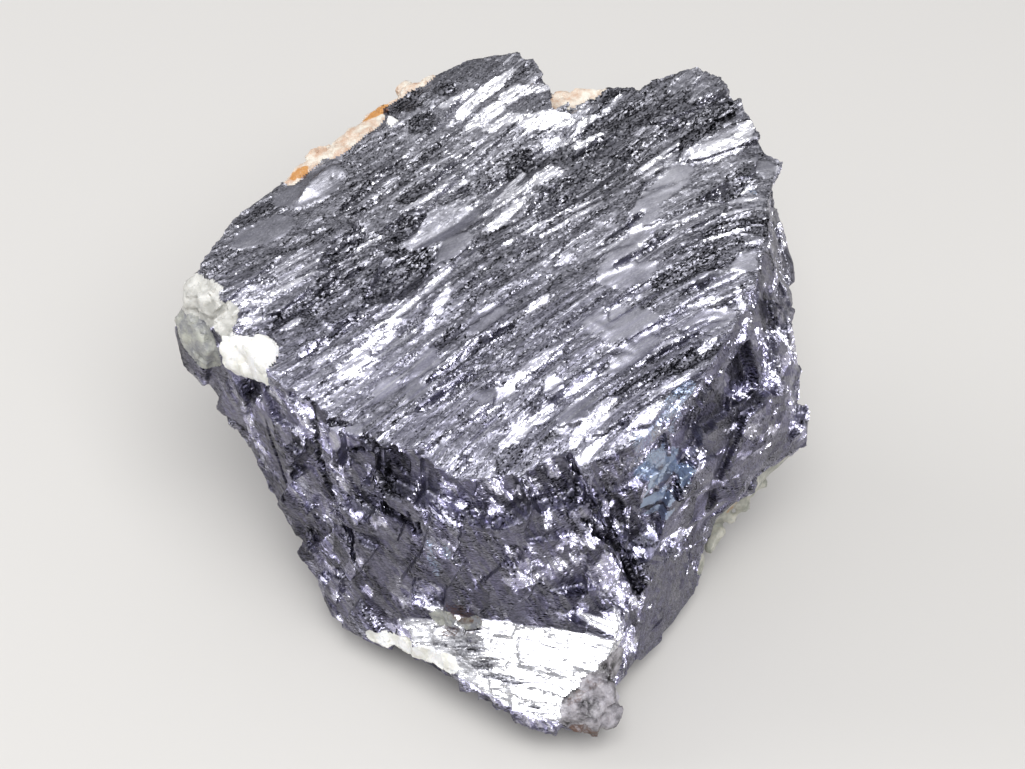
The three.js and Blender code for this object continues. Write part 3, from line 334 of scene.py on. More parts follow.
class GalenaSizes(bpy.types.PropertyGroup):
    """Sizes of the relief on the ore."""

    skin_step: length_property("Skin step", "Side of the small squares that the skin is made of", 0.18)
    lath_relief: length_property("Lath relief", "Height between neighbouring laths of the top", 0.12)
    step_relief: length_property("Step relief", "Height of the cleavage steps of the sides", 0.14)
    shelf_relief: length_property("Shelf relief", "Height between the thin plates of the shelf", 0.14)
    grain_relief: length_property("Grain relief", "Height of the finest broken grain", 0.035)
    pocket_depth: length_property("Pocket depth", "Depth of the dark pits of the top", 0.2)
    groove_depth: length_property("Groove depth", "Depth of the open cracks of the sides", 0.28)


class GalenaColors(bpy.types.PropertyGroup):
    """Colours of the ore and of the minerals grown with it."""

    # The darkest and the lightest ore colours end the tone ramp as painted shade and a painted highlight;
    # lead grey is the ore's own colour.
    ore_dark: color_property("Ore in shade", "Broken ore that throws no light back", "#17171a")
    ore_lead: color_property("Lead grey", "The usual tone of the ore", "#a0a0a7")
    ore_painted_highlight: color_property("Fresh cleavage", "Cleavage faces that mirror the light", "#f6f6fa")
    glint: color_property("Violet glint", "Tint of the small mirrors in the ore", "#c6c1ea")
    tarnish: color_property("Blue tarnish", "Film of tarnish on the front", "#b3c5de")
    quartz: color_property("Quartz", "White gangue of the left corner", "#dcdbd6")
    clear: color_property("Clear quartz", "Smoky gangue under the white quartz", "#85868a")
    spar: color_property("Spar", "Snow white boss of the left corner", "#ffffff")
    crust: color_property("Crust", "Cream crust along the back edge", "#e2dccf")
    tip_stone: color_property("Tip stone", "Grey brown gangue of the front tip", "#171416")
    seam: color_property("Seam", "Greenish grey vein of the right foot", "#8f9187")
    rust: color_property("Rust", "Iron stain of the shelf and the tip", "#573a2a")
    ochre: color_property("Ochre", "Orange stain of the crust and the seam", "#c4873c")


class StageSettings(bpy.types.PropertyGroup):
    """Floor and light."""

    floor: color_property("Floor", "Plain pale floor", "#cfcdc9")
    key_power: power_property("Key power", "Power of the big soft light", 1.7)
    fill_power: power_property("Fill power", "Power of the side light", 0.8)


# ----------------------------------------
# Repeatable irregularity.  Points and sizes are in millimetres.
# ----------------------------------------


def draws_of(cells):
    """The random numbers that belong to each cell of an endless lattice."""
    i, j, k = np.moveaxis(cells % TABLE_SIZE, -1, 0)
    return RANDOM[i, j, k]


def smooth_noise(points, size, channel):
    """Soft bumps from -1 to 1, size across.  The size may differ along each axis."""
    scaled = points / np.asarray(size, float)
    low = np.floor(scaled).astype(int)
    part = scaled - low
    part = part * part * (3 - 2 * part)
    total = np.zeros(len(points))
    for corner in itertools.product((0, 1), repeat=3):
        share = np.prod(np.where(corner, part, 1 - part), axis=1)
        total += share * draws_of(low + corner)[:, channel]
    return 2 * total - 1


def nearest_grains(points, size):
    """For each point, the way from the middle of its grain and that grain's random numbers."""
    size = np.asarray(size, float) * np.ones(3)
    scaled = points / size
    low = np.floor(scaled).astype(int)
    best = np.full(len(points), np.inf)
    offset = np.zeros((len(points), 3))
    numbers = np.zeros((len(points), DRAWS))
    for step in itertools.product((-1, 0, 1), repeat=3):
        cell = low + step
        draws = draws_of(cell)
        away = scaled - cell - draws[:, :3]
        distance = (away * away).sum(axis=1)
        closer = distance < best
        best[closer] = distance[closer]
        offset[closer] = away[closer]
        numbers[closer] = draws[closer]
    return offset * size, numbers


def broken_plates(points, size, tilt, lift):
    """Height over the surface of flat grains that each lean a little and stand a little higher or lower.

    tilt is the steepest slope along each axis, and lift the greatest height.
    """
    offset, numbers = nearest_grains(points, size)
    slopes = (2 * numbers[:, 3:6] - 1) * np.asarray(tilt, float)
    return (2 * numbers[:, 6] - 1) * lift + (slopes * offset).sum(axis=1)


def smooth_step(low, high, values):
    """0 up to low, 1 from high on, and a soft rise between them."""
    part = np.clip((values - low) / (high - low), 0, 1)
    return part * part * (3 - 2 * part)


def varied(factors, *parts):
    """The first factor, and added to it every other factor times its part."""
    total = factors[0]
    for factor, part in zip(factors[1:], parts):
        total = total + factor * part
    return total


# ----------------------------------------
# The grain of the top
# ----------------------------------------

# Maps of the grain: their reach in millimetres, their highest power, and how much bending is held back.
GRAIN_REACH = 30
GRAIN_DEGREE = 4
GRAIN_DAMPING = 0.15
GRAIN_POWERS = [
    (i, j)
    for i, j in itertools.product(range(GRAIN_DEGREE + 1), repeat=2)
    if 0 < i + j <= GRAIN_DEGREE
]


def grain_slopes(x, y):
    """Slopes in x and y of every power product, at places scaled to the reach of the top."""
    along_x = [i * x ** max(i - 1, 0) * y ** j for i, j in GRAIN_POWERS]
    along_y = [j * x ** i * y ** max(j - 1, 0) for i, j in GRAIN_POWERS]
    return np.stack(along_x, axis=-1), np.stack(along_y, axis=-1)


def fitted_grain():
    """Factors of two smooth maps, along and across the laths, that turn with the sights of the grain."""
    sights = np.array(GRAIN_SIGHTS, float)
    x, y = sights[:, 0] / GRAIN_REACH, sights[:, 1] / GRAIN_REACH
    angle = np.radians(sights[:, 2])
    rows = np.concatenate(grain_slopes(x, y))
    damping = GRAIN_DAMPING * np.diag([i + j - 1 for i, j in GRAIN_POWERS]).astype(float)
    rows = np.concatenate([rows, damping])
    ends = np.zeros(len(GRAIN_POWERS))
    along = np.concatenate([np.cos(angle), np.sin(angle), ends])
    across = np.concatenate([-np.sin(angle), np.cos(angle), ends])
    return [np.linalg.lstsq(rows, way * GRAIN_REACH, rcond=None)[0] for way in (along, across)]


def grain_places(points):
    """Places along and across the laths, and the height over the top plane."""
    x, y = points[:, 0] / GRAIN_REACH, points[:, 1] / GRAIN_REACH
    products = np.stack([x ** i * y ** j for i, j in GRAIN_POWERS], axis=-1)
    along, across = (products @ factors for factors in fitted_grain())
    return np.stack([along, across, points[:, 2] - top_height(points)], axis=-1)


def top_height(points):
    return TOP_HEIGHT + TOP_RISE_X * points[:, 0] + TOP_RISE_Y * points[:, 1]


def shelf_height(points):
    left = np.maximum(SHELF_X - points[:, 0], 0)
    return SHELF_HEIGHT + SHELF_RISE * (points[:, 1] - SHELF_Y) - SHELF_FALL * left


# ----------------------------------------
# Marks: strokes laid on the surface
# ----------------------------------------

# Share of the way through the surface that is left out of the distance from a stroke's middle line.
THROUGH_SHARE = 0.75

# Share of its width that a stroke keeps at its ends, where its edge fades out, and how far from it
# points are looked at, both in half widths.
END_SHARE = 0.45
EDGE_FADE = (0.85, 1.15)
LOOK_REACH = 2.2

# How much the big teeth and the small ones of an uneven edge change the width of a stroke.
BIG_TEETH = 0.5
SMALL_TEETH = 0.3


def stroke(points, start, end, half_width, ragged, tapered=True, normals=None):
    """Cover from 0 to 1 of a stroke, and how far each point is from its middle line, 1 at its edge."""
    start, end = np.array(start, float), np.array(end, float)
    way = end - start
    part = np.clip((points - start) @ way / np.linalg.norm(way) ** 2, 0, 1)
    away = points - (start + part[:, None] * way)
    if normals is not None:
        away -= THROUGH_SHARE * (away * normals).sum(axis=1)[:, None] * normals
    taper = 1
    if tapered:
        taper = END_SHARE + (1 - END_SHARE) * np.sqrt(np.clip(1 - (2 * part - 1) ** 2, 0, 1))
    distance = np.linalg.norm(away, axis=1) / (half_width * taper * ragged)
    return 1 - smooth_step(*EDGE_FADE, distance), distance


def lay_strokes(points, tone, strokes, ragged, normals=None):
    """Draws each stroke's brightness over tone, and returns the tone and how much of it is covered."""
    tone = tone.copy()
    covered = np.zeros(len(points))
    for start, end, half_width, brightness in strokes:
        middle = (np.array(start, float) + np.array(end, float)) / 2
        reach = np.linalg.norm(np.array(end, float) - middle) + LOOK_REACH * half_width
        near = np.flatnonzero(((points - middle) ** 2).sum(axis=1) < reach ** 2)
        facing = None if normals is None else normals[near]
        cover, _ = stroke(points[near], start, end, half_width, ragged[near], normals=facing)
        tone[near] += cover * (brightness - tone[near])
        covered[near] = np.maximum(covered[near], cover)
    return tone, covered


def on_top(rows):
    """Strokes of the top, written in plan, set down on the top plane."""
    return [((x0, y0, 0), (x1, y1, 0), half, tone) for x0, y0, x1, y1, half, tone in rows]


def ragged_edge(places, coarse, fine):
    """Factor on the width of a stroke that makes its edge uneven, in big teeth and small ones."""
    return 1 + BIG_TEETH * smooth_noise(places, coarse, 1) + SMALL_TEETH * smooth_noise(places, fine, 2)


# ----------------------------------------
# The skin
# ----------------------------------------

# Corners of the solid closer than this, in metres, are one.
WELD_DISTANCE = 1e-6


def unit_ways(ways):
    """Ways of any length, brought to length 1."""
    return ways / np.maximum(np.linalg.norm(ways, axis=1), 1e-12)[:, None]


class Skin:
    """Arrays of the lump's surface: points and normals in millimetres, squares, and marks per point."""

    def __init__(self, mesh):
        count = len(mesh.vertices)
        self.points = np.zeros(count * 3)
        mesh.vertices.foreach_get("co", self.points)
        self.points = self.points.reshape(-1, 3) / MM
        self.squares = np.zeros(len(mesh.polygons) * 4, int)
        mesh.loops.foreach_get("vertex_index", self.squares)
        self.squares = self.squares.reshape(-1, 4)
        self.edges = np.concatenate([self.squares[:, [i, (i + 1) % 4]] for i in range(4)])
        self.valence = np.bincount(self.edges[:, 0], minlength=count)
        self.marks = {}

    def normals(self):
        corners = self.points[self.squares]
        across = np.cross(corners[:, 2] - corners[:, 0], corners[:, 3] - corners[:, 1])
        total = np.zeros_like(self.points)
        for i in range(4):
            for axis in range(3):
                total[:, axis] += np.bincount(self.squares[:, i], across[:, axis], len(self.points))
        return unit_ways(total)

    def softened(self, values, rounds):
        """Values averaged with those of their neighbours, again and again."""
        values = values.reshape(len(values), -1)
        for _ in range(rounds):
            total = np.zeros_like(values)
            for column in range(values.shape[1]):
                neighbours = values[self.edges[:, 1], column]
                total[:, column] = np.bincount(self.edges[:, 0], neighbours, len(values))
            values = 0.5 * values + 0.5 * total / self.valence[:, None]
        return values

    def soft_normals(self, rounds):
        return unit_ways(self.softened(self.normals(), rounds))


def even_skin(step):
    """The lump's solid, rebuilt as squares of one size."""
    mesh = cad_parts[LUMP].data.copy()
    work = bmesh.new()
    work.from_mesh(mesh)
    bmesh.ops.remove_doubles(work, verts=work.verts, dist=WELD_DISTANCE)
    work.to_mesh(mesh)
    work.free()
    lump = bpy.data.objects.new("skin_maker", mesh)
    bpy.context.scene.collection.objects.link(lump)
    remesh = lump.modifiers.new("even squares", "REMESH")
    remesh.mode = "VOXEL"
    remesh.voxel_size = step
    remesh.adaptivity = 0
    depsgraph = bpy.context.evaluated_depsgraph_get()
    even = bpy.data.meshes.new_from_object(lump.evaluated_get(depsgraph))
    skin = Skin(even)
    bpy.data.objects.remove(lump)
    bpy.data.meshes.remove(mesh)
    bpy.data.meshes.remove(even)
    return skin


# ----------------------------------------
# Which surface a point belongs to
# ----------------------------------------

# Rounds of softening after which a normal tells how a whole face lies.
FACE_ROUNDS = 14

# Where the top fades out: depth under its plane, and upward part of the normal.
TOP_DEPTH = (1.4, 2.4)
TOP_UP = (0.5, 0.75)

# Where the shelf fades out: distance from its plane, upward part of the normal, back edge and ceiling.
SHELF_DROP = (1.2, 1.9)
SHELF_UP = (0.3, 0.5)
SHELF_BACK = (-17.6, -16.6)
SHELF_CEILING = (12, 13)

# Minerals of the gangue, in the order of their pieces.
KINDS = ("quartz", "clear", "spar", "crust", "tip", "seam")

# Outline of the gangue: how uneven it is, in teeth of what size, and how often it is softened.
GANGUE_RAGGED = 0.14
GANGUE_TEETH = 1.1
GANGUE_ROUNDS = 5


def zones(skin):
    """How much each point belongs to the top and to the shelf, from 0 to 1."""
    points = skin.points
    up = skin.soft_normals(FACE_ROUNDS)[:, 2]
    depth = top_height(points) - points[:, 2]
    top = (1 - smooth_step(*TOP_DEPTH, depth)) * smooth_step(*TOP_UP, up)
    drop = np.abs(points[:, 2] - shelf_height(points))
    shelf = (1 - smooth_step(*SHELF_DROP, drop)) * smooth_step(*SHELF_UP, up)
    shelf *= 1 - smooth_step(*SHELF_BACK, points[:, 1])
    shelf *= 1 - smooth_step(*SHELF_CEILING, points[:, 2])
    return top, shelf


def gangue_kind(skin):
    """Number of the gangue mineral at each point, from KINDS, or -1 on the ore."""
    points = skin.points
    ragged = 1 + GANGUE_RAGGED * smooth_noise(points, GANGUE_TEETH, 2)
    covers = np.zeros((len(points), len(KINDS)))
    for start, end, radius, name in GANGUE:
        _, away = stroke(points, start, end, radius, ragged, tapered=False)
        column = KINDS.index(name)
        covers[:, column] = np.maximum(covers[:, column], away < 1)
    covers = skin.softened(covers, GANGUE_ROUNDS)
    return np.where(covers.sum(axis=1) > 0.5, covers.argmax(axis=1), -1)


def kind_cover(skin, name, rounds, part=1.0):
    """Softened cover, from 0 to 1, of a mineral of the gangue or of a part of it."""
    return skin.softened((skin.kind == KINDS.index(name)) * part, rounds)[:, 0]


# ----------------------------------------
# The three kinds of broken ore.  Each gives every point its relief in millimetres, its tone, with painted
# highlights and painted shade in it, its chance of a flash, how even it is, and its place along the
# grain.
# ----------------------------------------

# How much an even plate, a pit and a crack take off the chance of a flash.
PLATE_HUSH = 0.6
POCKET_HUSH = 0.8
CRACK_HUSH = 0.5

# Size of the finest bumps of the ore.
BUMP_SIZE = 0.5

# Teeth of the marks of the top, its streaks, its patches and the mottling of its even plates: sizes
# along, across and through the laths.
LATH_TEETH = ((1.6, 0.4, 2), (0.6, 0.22, 1))
STREAK_SIZE = (3.2, 0.36, 3)
PATCH_SIZE = (5, 2.4, 3)
MOTTLE_SIZE = (1.6, 0.7, 2)

# Tone and chance of a flash of the top, and what its streaks and its patches add to them.
TOP_TONE = (0.35, 0.09, 0.08)
TOP_FLASH = (0.12, 0.1, 0.1)

# How much the mottling changes the tone of an even plate.
MOTTLING = 0.12

# Bright laths: the share of their width left when their edges are torn, and chance of a flash by tone.
LATH_SHARE = 0.85
LATH_FLASH = (-0.18, 0.72)

# How fast a pit gets shallow as its tone gets lighter.
PIT_TONE = 2.6

# Size and steepest slopes of the laths, of the slats that they split into and of the finest splinters,
# and the height of the slats as a share of that of the laths.
LATHS = ((9, 1.1, 9), (0.015, 0.08, 0))
SLATS = ((2.6, 0.5, 9), (0.03, 0.1, 0))
SPLINTERS = ((0.7, 0.32, 9), (0.05, 0.1, 0))
SLAT_RISE = 0.35

# How much the splinters are worn off in a pit, and the whole relief on an even plate.
PIT_WEAR = 0.6
PLATE_WEAR = 0.95


def sheared_top(points, sizes):
    """Long laths side by side, with pits where they broke out and plates where they cleaved clean; bright
    laths are painted highlights and dark pits painted shade.
    """
    laths = grain_places(points)
    flat = points * (1, 1, 0)
    ragged = ragged_edge(laths, *LATH_TEETH)
    streaks = smooth_noise(laths, STREAK_SIZE, 3)
    patches = smooth_noise(laths, PATCH_SIZE, 4)
    tone = varied(TOP_TONE, streaks, patches)
    tone, pocket = lay_strokes(flat, tone, on_top(PAINTED_SHADE_POCKETS), ragged)
    tone, lath = lay_strokes(flat, tone, on_top(PAINTED_HIGHLIGHT_LATHS), LATH_SHARE * ragged)
    tone, plate = lay_strokes(flat, tone, on_top(EVEN_PLATES), 0.5 + 0.5 * ragged)
    tone += MOTTLING * plate * smooth_noise(laths, MOTTLE_SIZE, 6)
    lath = lath * (1 - plate)
    pocket = pocket * (1 - lath) * (1 - plate)
    pit = pocket * np.clip(1 - PIT_TONE * tone, 0, 1)
    flash = varied(TOP_FLASH, streaks, patches) * (1 - PLATE_HUSH * plate) * (1 - POCKET_HUSH * pocket)
    flash = np.maximum(flash, lath * varied(LATH_FLASH, tone))

    rise = sizes.lath_relief / MM
    fine = sizes.grain_relief / MM
    relief = broken_plates(laths, *LATHS, rise)
    relief += broken_plates(laths, *SLATS, SLAT_RISE * rise)
    relief += broken_plates(laths, *SPLINTERS, fine) * (1 - PIT_WEAR * pocket)
    relief *= 1 - PLATE_WEAR * plate
    relief -= pit * (sizes.pocket_depth / MM + 0.5 * fine * smooth_noise(points, BUMP_SIZE, 7))
    return {"relief": relief, "tone": tone, "flash": flash, "even": plate, "grain": laths}


# Frame of the cube cleavage of the sides: turned about Z and leant over, in degrees.
CLEAVAGE_TURN = 36
CLEAVAGE_LEAN = -17

# Grains are shorter and wider on the sides: factors on the places along the three cleavage ways.
SIDE_STRETCH = (2.6, 0.45, 0.6)

# Teeth of the marks of the sides and clusters of small mirrors: sizes along the three cleavage ways.
SIDE_TEETH = ((1.4, 0.9, 0.9), (0.6, 0.35, 0.35))
CLUSTER_SIZE = (2.2, 1.2, 1.2)

# Size and steepest slopes of the cleavage plates of the sides and of the chips on them, and the height
# of the chips as a share of that of the plates.
PLATES = ((4.2, 2.1, 2.1), (0.05, 0.05, 0.05))
CHIPS = ((1.8, 0.42, 0.6), (0.05, 0.1, 0.1))
CHIP_RISE = 0.3

# A face looks to the right when the rightward part of its normal is over this; its chips are finer.
RIGHT_FACING = 0.5
RIGHT_FINENESS = 1.4

# How far the outline of a glint is cut along the chips, from 0 to 1.
CHIP_CUT = 0.55

# The front rim, by its depth under the top plane, where more small mirrors stand.
RIM_DEPTH = (1.5, 6)

# Share of the plates that stay smooth, how much less it is on the left, and between which distances.
CALM_SHARE = 0.65
ROUGH_LEFT = 0.3
ROUGH_PLACE = (7, 13)

# Plates stay smooth only between the clusters: how low the cluster noise has to be.
CALM_NOISE = (-0.5, 0)

# Tone of the sides, low as painted shade, and what the plates, the chips and facing right add to it; the
# lift on faces that look right is painted light.
SIDE_TONE = (0.09, 0.25, 0.18, 0.14)

# Chance of a flash of the sides, what clusters, plates and the rim add to it, and that of a glint.
SIDE_FLASH = (0.2, 0.24, 0.1, 0.14)
GLINT_FLASH = 0.58

# The tone under which a crack is open.
GROOVE_TONE = 0.09

# How even calm plates and cracks are, how much relief both lose, and the share of the finest bumps.
CALM_EVEN = 0.9
CRACK_EVEN = 0.4
SIDE_WEAR = 0.9
SIDE_BUMPS = 0.3


def cleavage_turn():
    """The three cleavage directions of the sides, a row each."""
    turn, lean = math.radians(CLEAVAGE_TURN), math.radians(CLEAVAGE_LEAN)
    about_z = [[math.cos(turn), math.sin(turn), 0], [-math.sin(turn), math.cos(turn), 0], [0, 0, 1]]
    about_y = [[math.cos(lean), 0, -math.sin(lean)], [0, 1, 0], [math.sin(lean), 0, math.cos(lean)]]
    return np.array(about_y) @ np.array(about_z)


def broken_side(points, normals, sizes):
    """Stepped cleavage: smooth plates painted dark as shade, and between them clusters of small mirrors.
    """
    to_right = normals[:, 0] > RIGHT_FACING
    cubes = points @ cleavage_turn().T
    places = np.where(to_right[:, None], cubes, cubes[:, [2, 0, 1]])
    ragged = ragged_edge(places, *SIDE_TEETH)
    _, plate_draws = nearest_grains(places, PLATES[0])
    fineness = np.where(to_right, RIGHT_FINENESS, 1)[:, None]
    chip_offset, chip_draws = nearest_grains(places * fineness, CHIPS[0])
    chip_offset /= fineness
    chip_offset = np.where(to_right[:, None], chip_offset, chip_offset[:, [1, 2, 0]])
    chips = points - CHIP_CUT * chip_offset @ cleavage_turn()
    clusters = smooth_noise(places, CLUSTER_SIZE, 5)
    depth = top_height(points) - points[:, 2]
    rim = (1 - smooth_step(*RIM_DEPTH, depth)) * (points[:, 1] < 0)
    rough_left = ROUGH_LEFT * smooth_step(*ROUGH_PLACE, -points[:, 0])
    calm = (plate_draws[:, 1] < CALM_SHARE - rough_left) * smooth_step(*CALM_NOISE, -clusters)
    tone = varied(SIDE_TONE, plate_draws[:, 7], (1 - calm) * chip_draws[:, 7], to_right)
    flash = varied(SIDE_FLASH, clusters, plate_draws[:, 0], rim) * (1 - PLATE_HUSH * calm)
    tone, crack = lay_strokes(points, tone, SIDE_PAINTED_SHADE, ragged, normals)
    groove = crack * (tone < GROOVE_TONE)
    tone, plate = lay_strokes(points, tone, SIDE_PLATES, ragged, normals)
    tone, glint = lay_strokes(chips, tone, PAINTED_SIDE_GLINTS, ragged, normals)
    crack = crack * (1 - glint)
    plate = np.maximum(plate, CALM_EVEN * calm) * (1 - glint)
    flash = flash * (1 - CRACK_HUSH * crack) * (1 - PLATE_HUSH * plate)
    flash = np.maximum(flash, GLINT_FLASH * glint * tone)

    rise = sizes.step_relief / MM
    relief = broken_plates(places, *PLATES, rise)
    relief += broken_plates(places * fineness, *CHIPS, CHIP_RISE * rise)
    relief *= 1 - SIDE_WEAR * np.maximum(crack, plate)
    relief += SIDE_BUMPS * sizes.grain_relief / MM * smooth_noise(points, BUMP_SIZE, 7)
    relief -= groove * sizes.groove_depth / MM
    even = np.maximum(CRACK_EVEN * crack, plate)
    return {"relief": relief, "tone": tone, "flash": flash, "even": even, "grain": places * SIDE_STRETCH}


# The shelf: way of its thin plates in plan, their size and steepest slopes, and size and height of the
# noise that draws their dark ends.
LEAF_WAY = (0.98, -0.2)
LEAVES = ((6, 0.9, 4), (0.02, 0.12, 0))
LINE_SIZE = (3, 0.3, 1)
LINE_NOISE = (0.3, 0.5)

# Where the shelf has more lines painted dark as shade, and more relief: to the front left of a slanting
# line through a place, and round its root.
LINED_PLACE = (3, -21)
LINED_SLANT = 0.45
LINED_FADE = (-1, 3.5)
ROOT_PLACE = (-2.8, -20)
ROOT_FADE = (0.8, 2.4)

# Share of the dark ends and of the relief that the shelf has outside that part.
OUTSIDE_LINES = 0.04
OUTSIDE_RELIEF = 0.12

# Tone and chance of a flash of the shelf, near white as a painted highlight, and what the dark ends,
# painted shade, and the root take off them.
SHELF_TONE = (0.98, -0.75, -0.45)
SHELF_FLASH = (0.85, -0.6, -0.45)

# How deep the dark ends lie, in millimetres, and how even the plates are between them.
LINE_DEPTH = 0.12
SHELF_EVEN = 0.5


def cleaved_shelf(points, sizes):
    """Thin plates painted bright as a highlight, ending in lines painted dark as shade, more of them to
    the front left.
    """
    x, y = LEAF_WAY
    leaves = points @ np.array([[x, -y, 0], [y, x, 0], [0, 0, 1]])
    x, y = points[:, 0], points[:, 1]
    lined = smooth_step(*LINED_FADE, -(y - LINED_PLACE[1]) - LINED_SLANT * (x - LINED_PLACE[0]))
    root = 1 - smooth_step(*ROOT_FADE, np.hypot(x - ROOT_PLACE[0], y - ROOT_PLACE[1]))
    lined = np.maximum(lined, root)
    lines = smooth_step(*LINE_NOISE, -smooth_noise(leaves, LINE_SIZE, 5))
    lines = lines * varied((OUTSIDE_LINES, 1 - OUTSIDE_LINES), lined)
    relief = broken_plates(leaves, *LEAVES, sizes.shelf_relief / MM)
    relief = relief * varied((OUTSIDE_RELIEF, 1 - OUTSIDE_RELIEF), lined) - LINE_DEPTH * lines
    tone = varied(SHELF_TONE, lines, root)
    flash = varied(SHELF_FLASH, lines, root)
    even = SHELF_EVEN * (1 - lines)
    return {"relief": relief, "tone": tone, "flash": flash, "even": even, "grain": leaves}


# ----------------------------------------
# Breaking up the skin
# ----------------------------------------

# Crystals of the gangue: size and steepest slope, and their height; then size and height of its bumps.
CRYSTALS = (1.3, 0.15)
CRYSTAL_RISE = 0.09
STONE_BUMPS = (0.4, 0.04)

# The crust: how far it stands up, and size and height of its lumps.
CRUST_RISE = 0.25
CRUST_LUMPS = (1.1, 0.22)

# The white boss is the spar over this height; how far it stands up.
BOSS_HEIGHT = (20, 22)
BOSS_RISE = 0.5

# How much of its relief the seam loses.
SEAM_WEAR = 0.7

# Rounds of softening: edge of the ore, edge of the crust and the seam, the boss, the seam's own shape,
# and the normals along which the relief is laid.
ORE_ROUNDS = 2
STONE_ROUNDS = 4
BOSS_ROUNDS = 12
SEAM_ROUNDS = 40
RELIEF_ROUNDS = 2

# Height over the floor at which the relief starts and is full.
FOOT_FADE = (0.3, 1.2)

# Plane cleavage faces, laid flat under their relief: both ends of the middle line and half width.
FLAT_FACES = (((12.4, -18.3, 7.4), (18.8, -10.4, 7), 5),)

# Rounds of softening of the normals that pick a plane face, how well they have to agree with the way it
# faces, and the height over the floor at which it is laid flat.
FACING_ROUNDS = 90
FACING_AGREE = (0.1, 0.5)
FACING_FOOT = (0.5, 2.5)

# Bulges pared down to a plane: a place on it, the way out of it, the plane's height that way, the reach,
# and the part of the reach where the paring fades out.
PARED_BULGES = (((26, 8.8, 31.5), (0.95, -0.12, 0.3), 32.1, 5.5),)
PARED_FADE = (0.6, 1)

# Teeth of the tarnish and of the stains, in millimetres.
STAIN_TEETH = (0.9, 0.4)

# What the blue tarnish does: lightens the sides, takes off flashes and evens the grain.
BLUE_LIGHT = 0.28
BLUE_HUSH = 0.4
BLUE_EVEN = 0.5

# Violet sheen: its strength at the back, what it gains to the front, and where, counted to the front.
SIDE_VIOLET = ((0.55, 0.6), (-8, 5))
TOP_VIOLET = ((0.12, 0.5), (-14, 12))

# How far a flashing grain turns: on the sides, on the shelf, and on the top, there with the chance added.
SIDE_TURN = 0.85
SHELF_TURN = 0.5
TOP_TURN = (0.28, 0.45)

# Bright strands of the top, which also lighten the colour as painted highlights: how much they fade on
# even plates, and the chance of a flash they need.
STRAND_HUSH = 0.7
STRAND_FLASH = (0, 0.1)


def pared(points):
    """The points, with those of a bulge that stand over its plane moved back onto it."""
    for place, way, height, reach in PARED_BULGES:
        way = np.array(way) / np.linalg.norm(way)
        over = np.maximum(points @ way - height, 0)
        over *= 1 - smooth_step(*PARED_FADE, np.linalg.norm(points - place, axis=1) / reach)
        points = points - over[:, None] * way
    return points


def flattened(points, normals):
    """The points, with those of the plane faces moved onto their best plane."""
    points = points.copy()
    for start, end, half_width in FLAT_FACES:
        cover, _ = stroke(points, start, end, half_width, 1, tapered=False)
        facing = normals.T @ cover
        facing /= np.linalg.norm(facing)
        cover = cover * smooth_step(*FACING_AGREE, normals @ facing)
        cover = cover * smooth_step(*FACING_FOOT, points[:, 2])
        near = cover > 0
        share = cover[near][:, None]
        middle = (share * points[near]).sum(axis=0) / share.sum()
        away = points[near] - middle
        _, _, ways = np.linalg.svd((share * away).T @ away)
        points[near] -= share * (away @ ways[2])[:, None] * ways[2]
    return points


def stone_relief(skin, seam):
    """Relief of the gangue: small crystals, a lumpy crust, a raised boss and a worn seam."""
    points = skin.points
    size, height = STONE_BUMPS
    stone = broken_plates(points, *CRYSTALS, CRYSTAL_RISE) + smooth_noise(points, size, 3) * height
    size, height = CRUST_LUMPS
    crust = kind_cover(skin, "crust", STONE_ROUNDS)
    stone += crust * (CRUST_RISE + height * smooth_noise(points, size, 6))
    boss = smooth_step(*BOSS_HEIGHT, points[:, 2])
    stone += kind_cover(skin, "spar", BOSS_ROUNDS, boss) * BOSS_RISE
    return stone * (1 - SEAM_WEAR * seam)


def violet_sheen(points, factors, fade):
    return varied(factors, smooth_step(*fade, -points[:, 1]))


def ore_marks(skin, side, ore):
    """What the materials need to know at every point."""
    points = skin.points
    bare = np.zeros(len(points))
    ragged = ragged_edge(points, *STAIN_TEETH)
    blue, _ = lay_strokes(points, bare, BLUE_TARNISH, ragged)
    rust, _ = lay_strokes(points, bare, RUST_STAINS, ragged)
    violet = side * violet_sheen(points, *SIDE_VIOLET)
    violet += skin.top * violet_sheen(points, *TOP_VIOLET)
    turn = SIDE_TURN * side + SHELF_TURN * skin.shelf + varied(TOP_TURN, ore["flash"]) * skin.top
    return {
        "tone": ore["tone"] + BLUE_LIGHT * blue * side,
        "flash": ore["flash"] * (1 - BLUE_HUSH * blue),
        "even": np.maximum(ore["even"], BLUE_EVEN * blue),
        "blue": blue,
        "rust": rust,
        "violet": violet,
        "grain": ore["grain"],
        "turn": turn,
        "strand": skin.top * (1 - STRAND_HUSH * ore["even"]) * smooth_step(*STRAND_FLASH, ore["flash"]),
    }


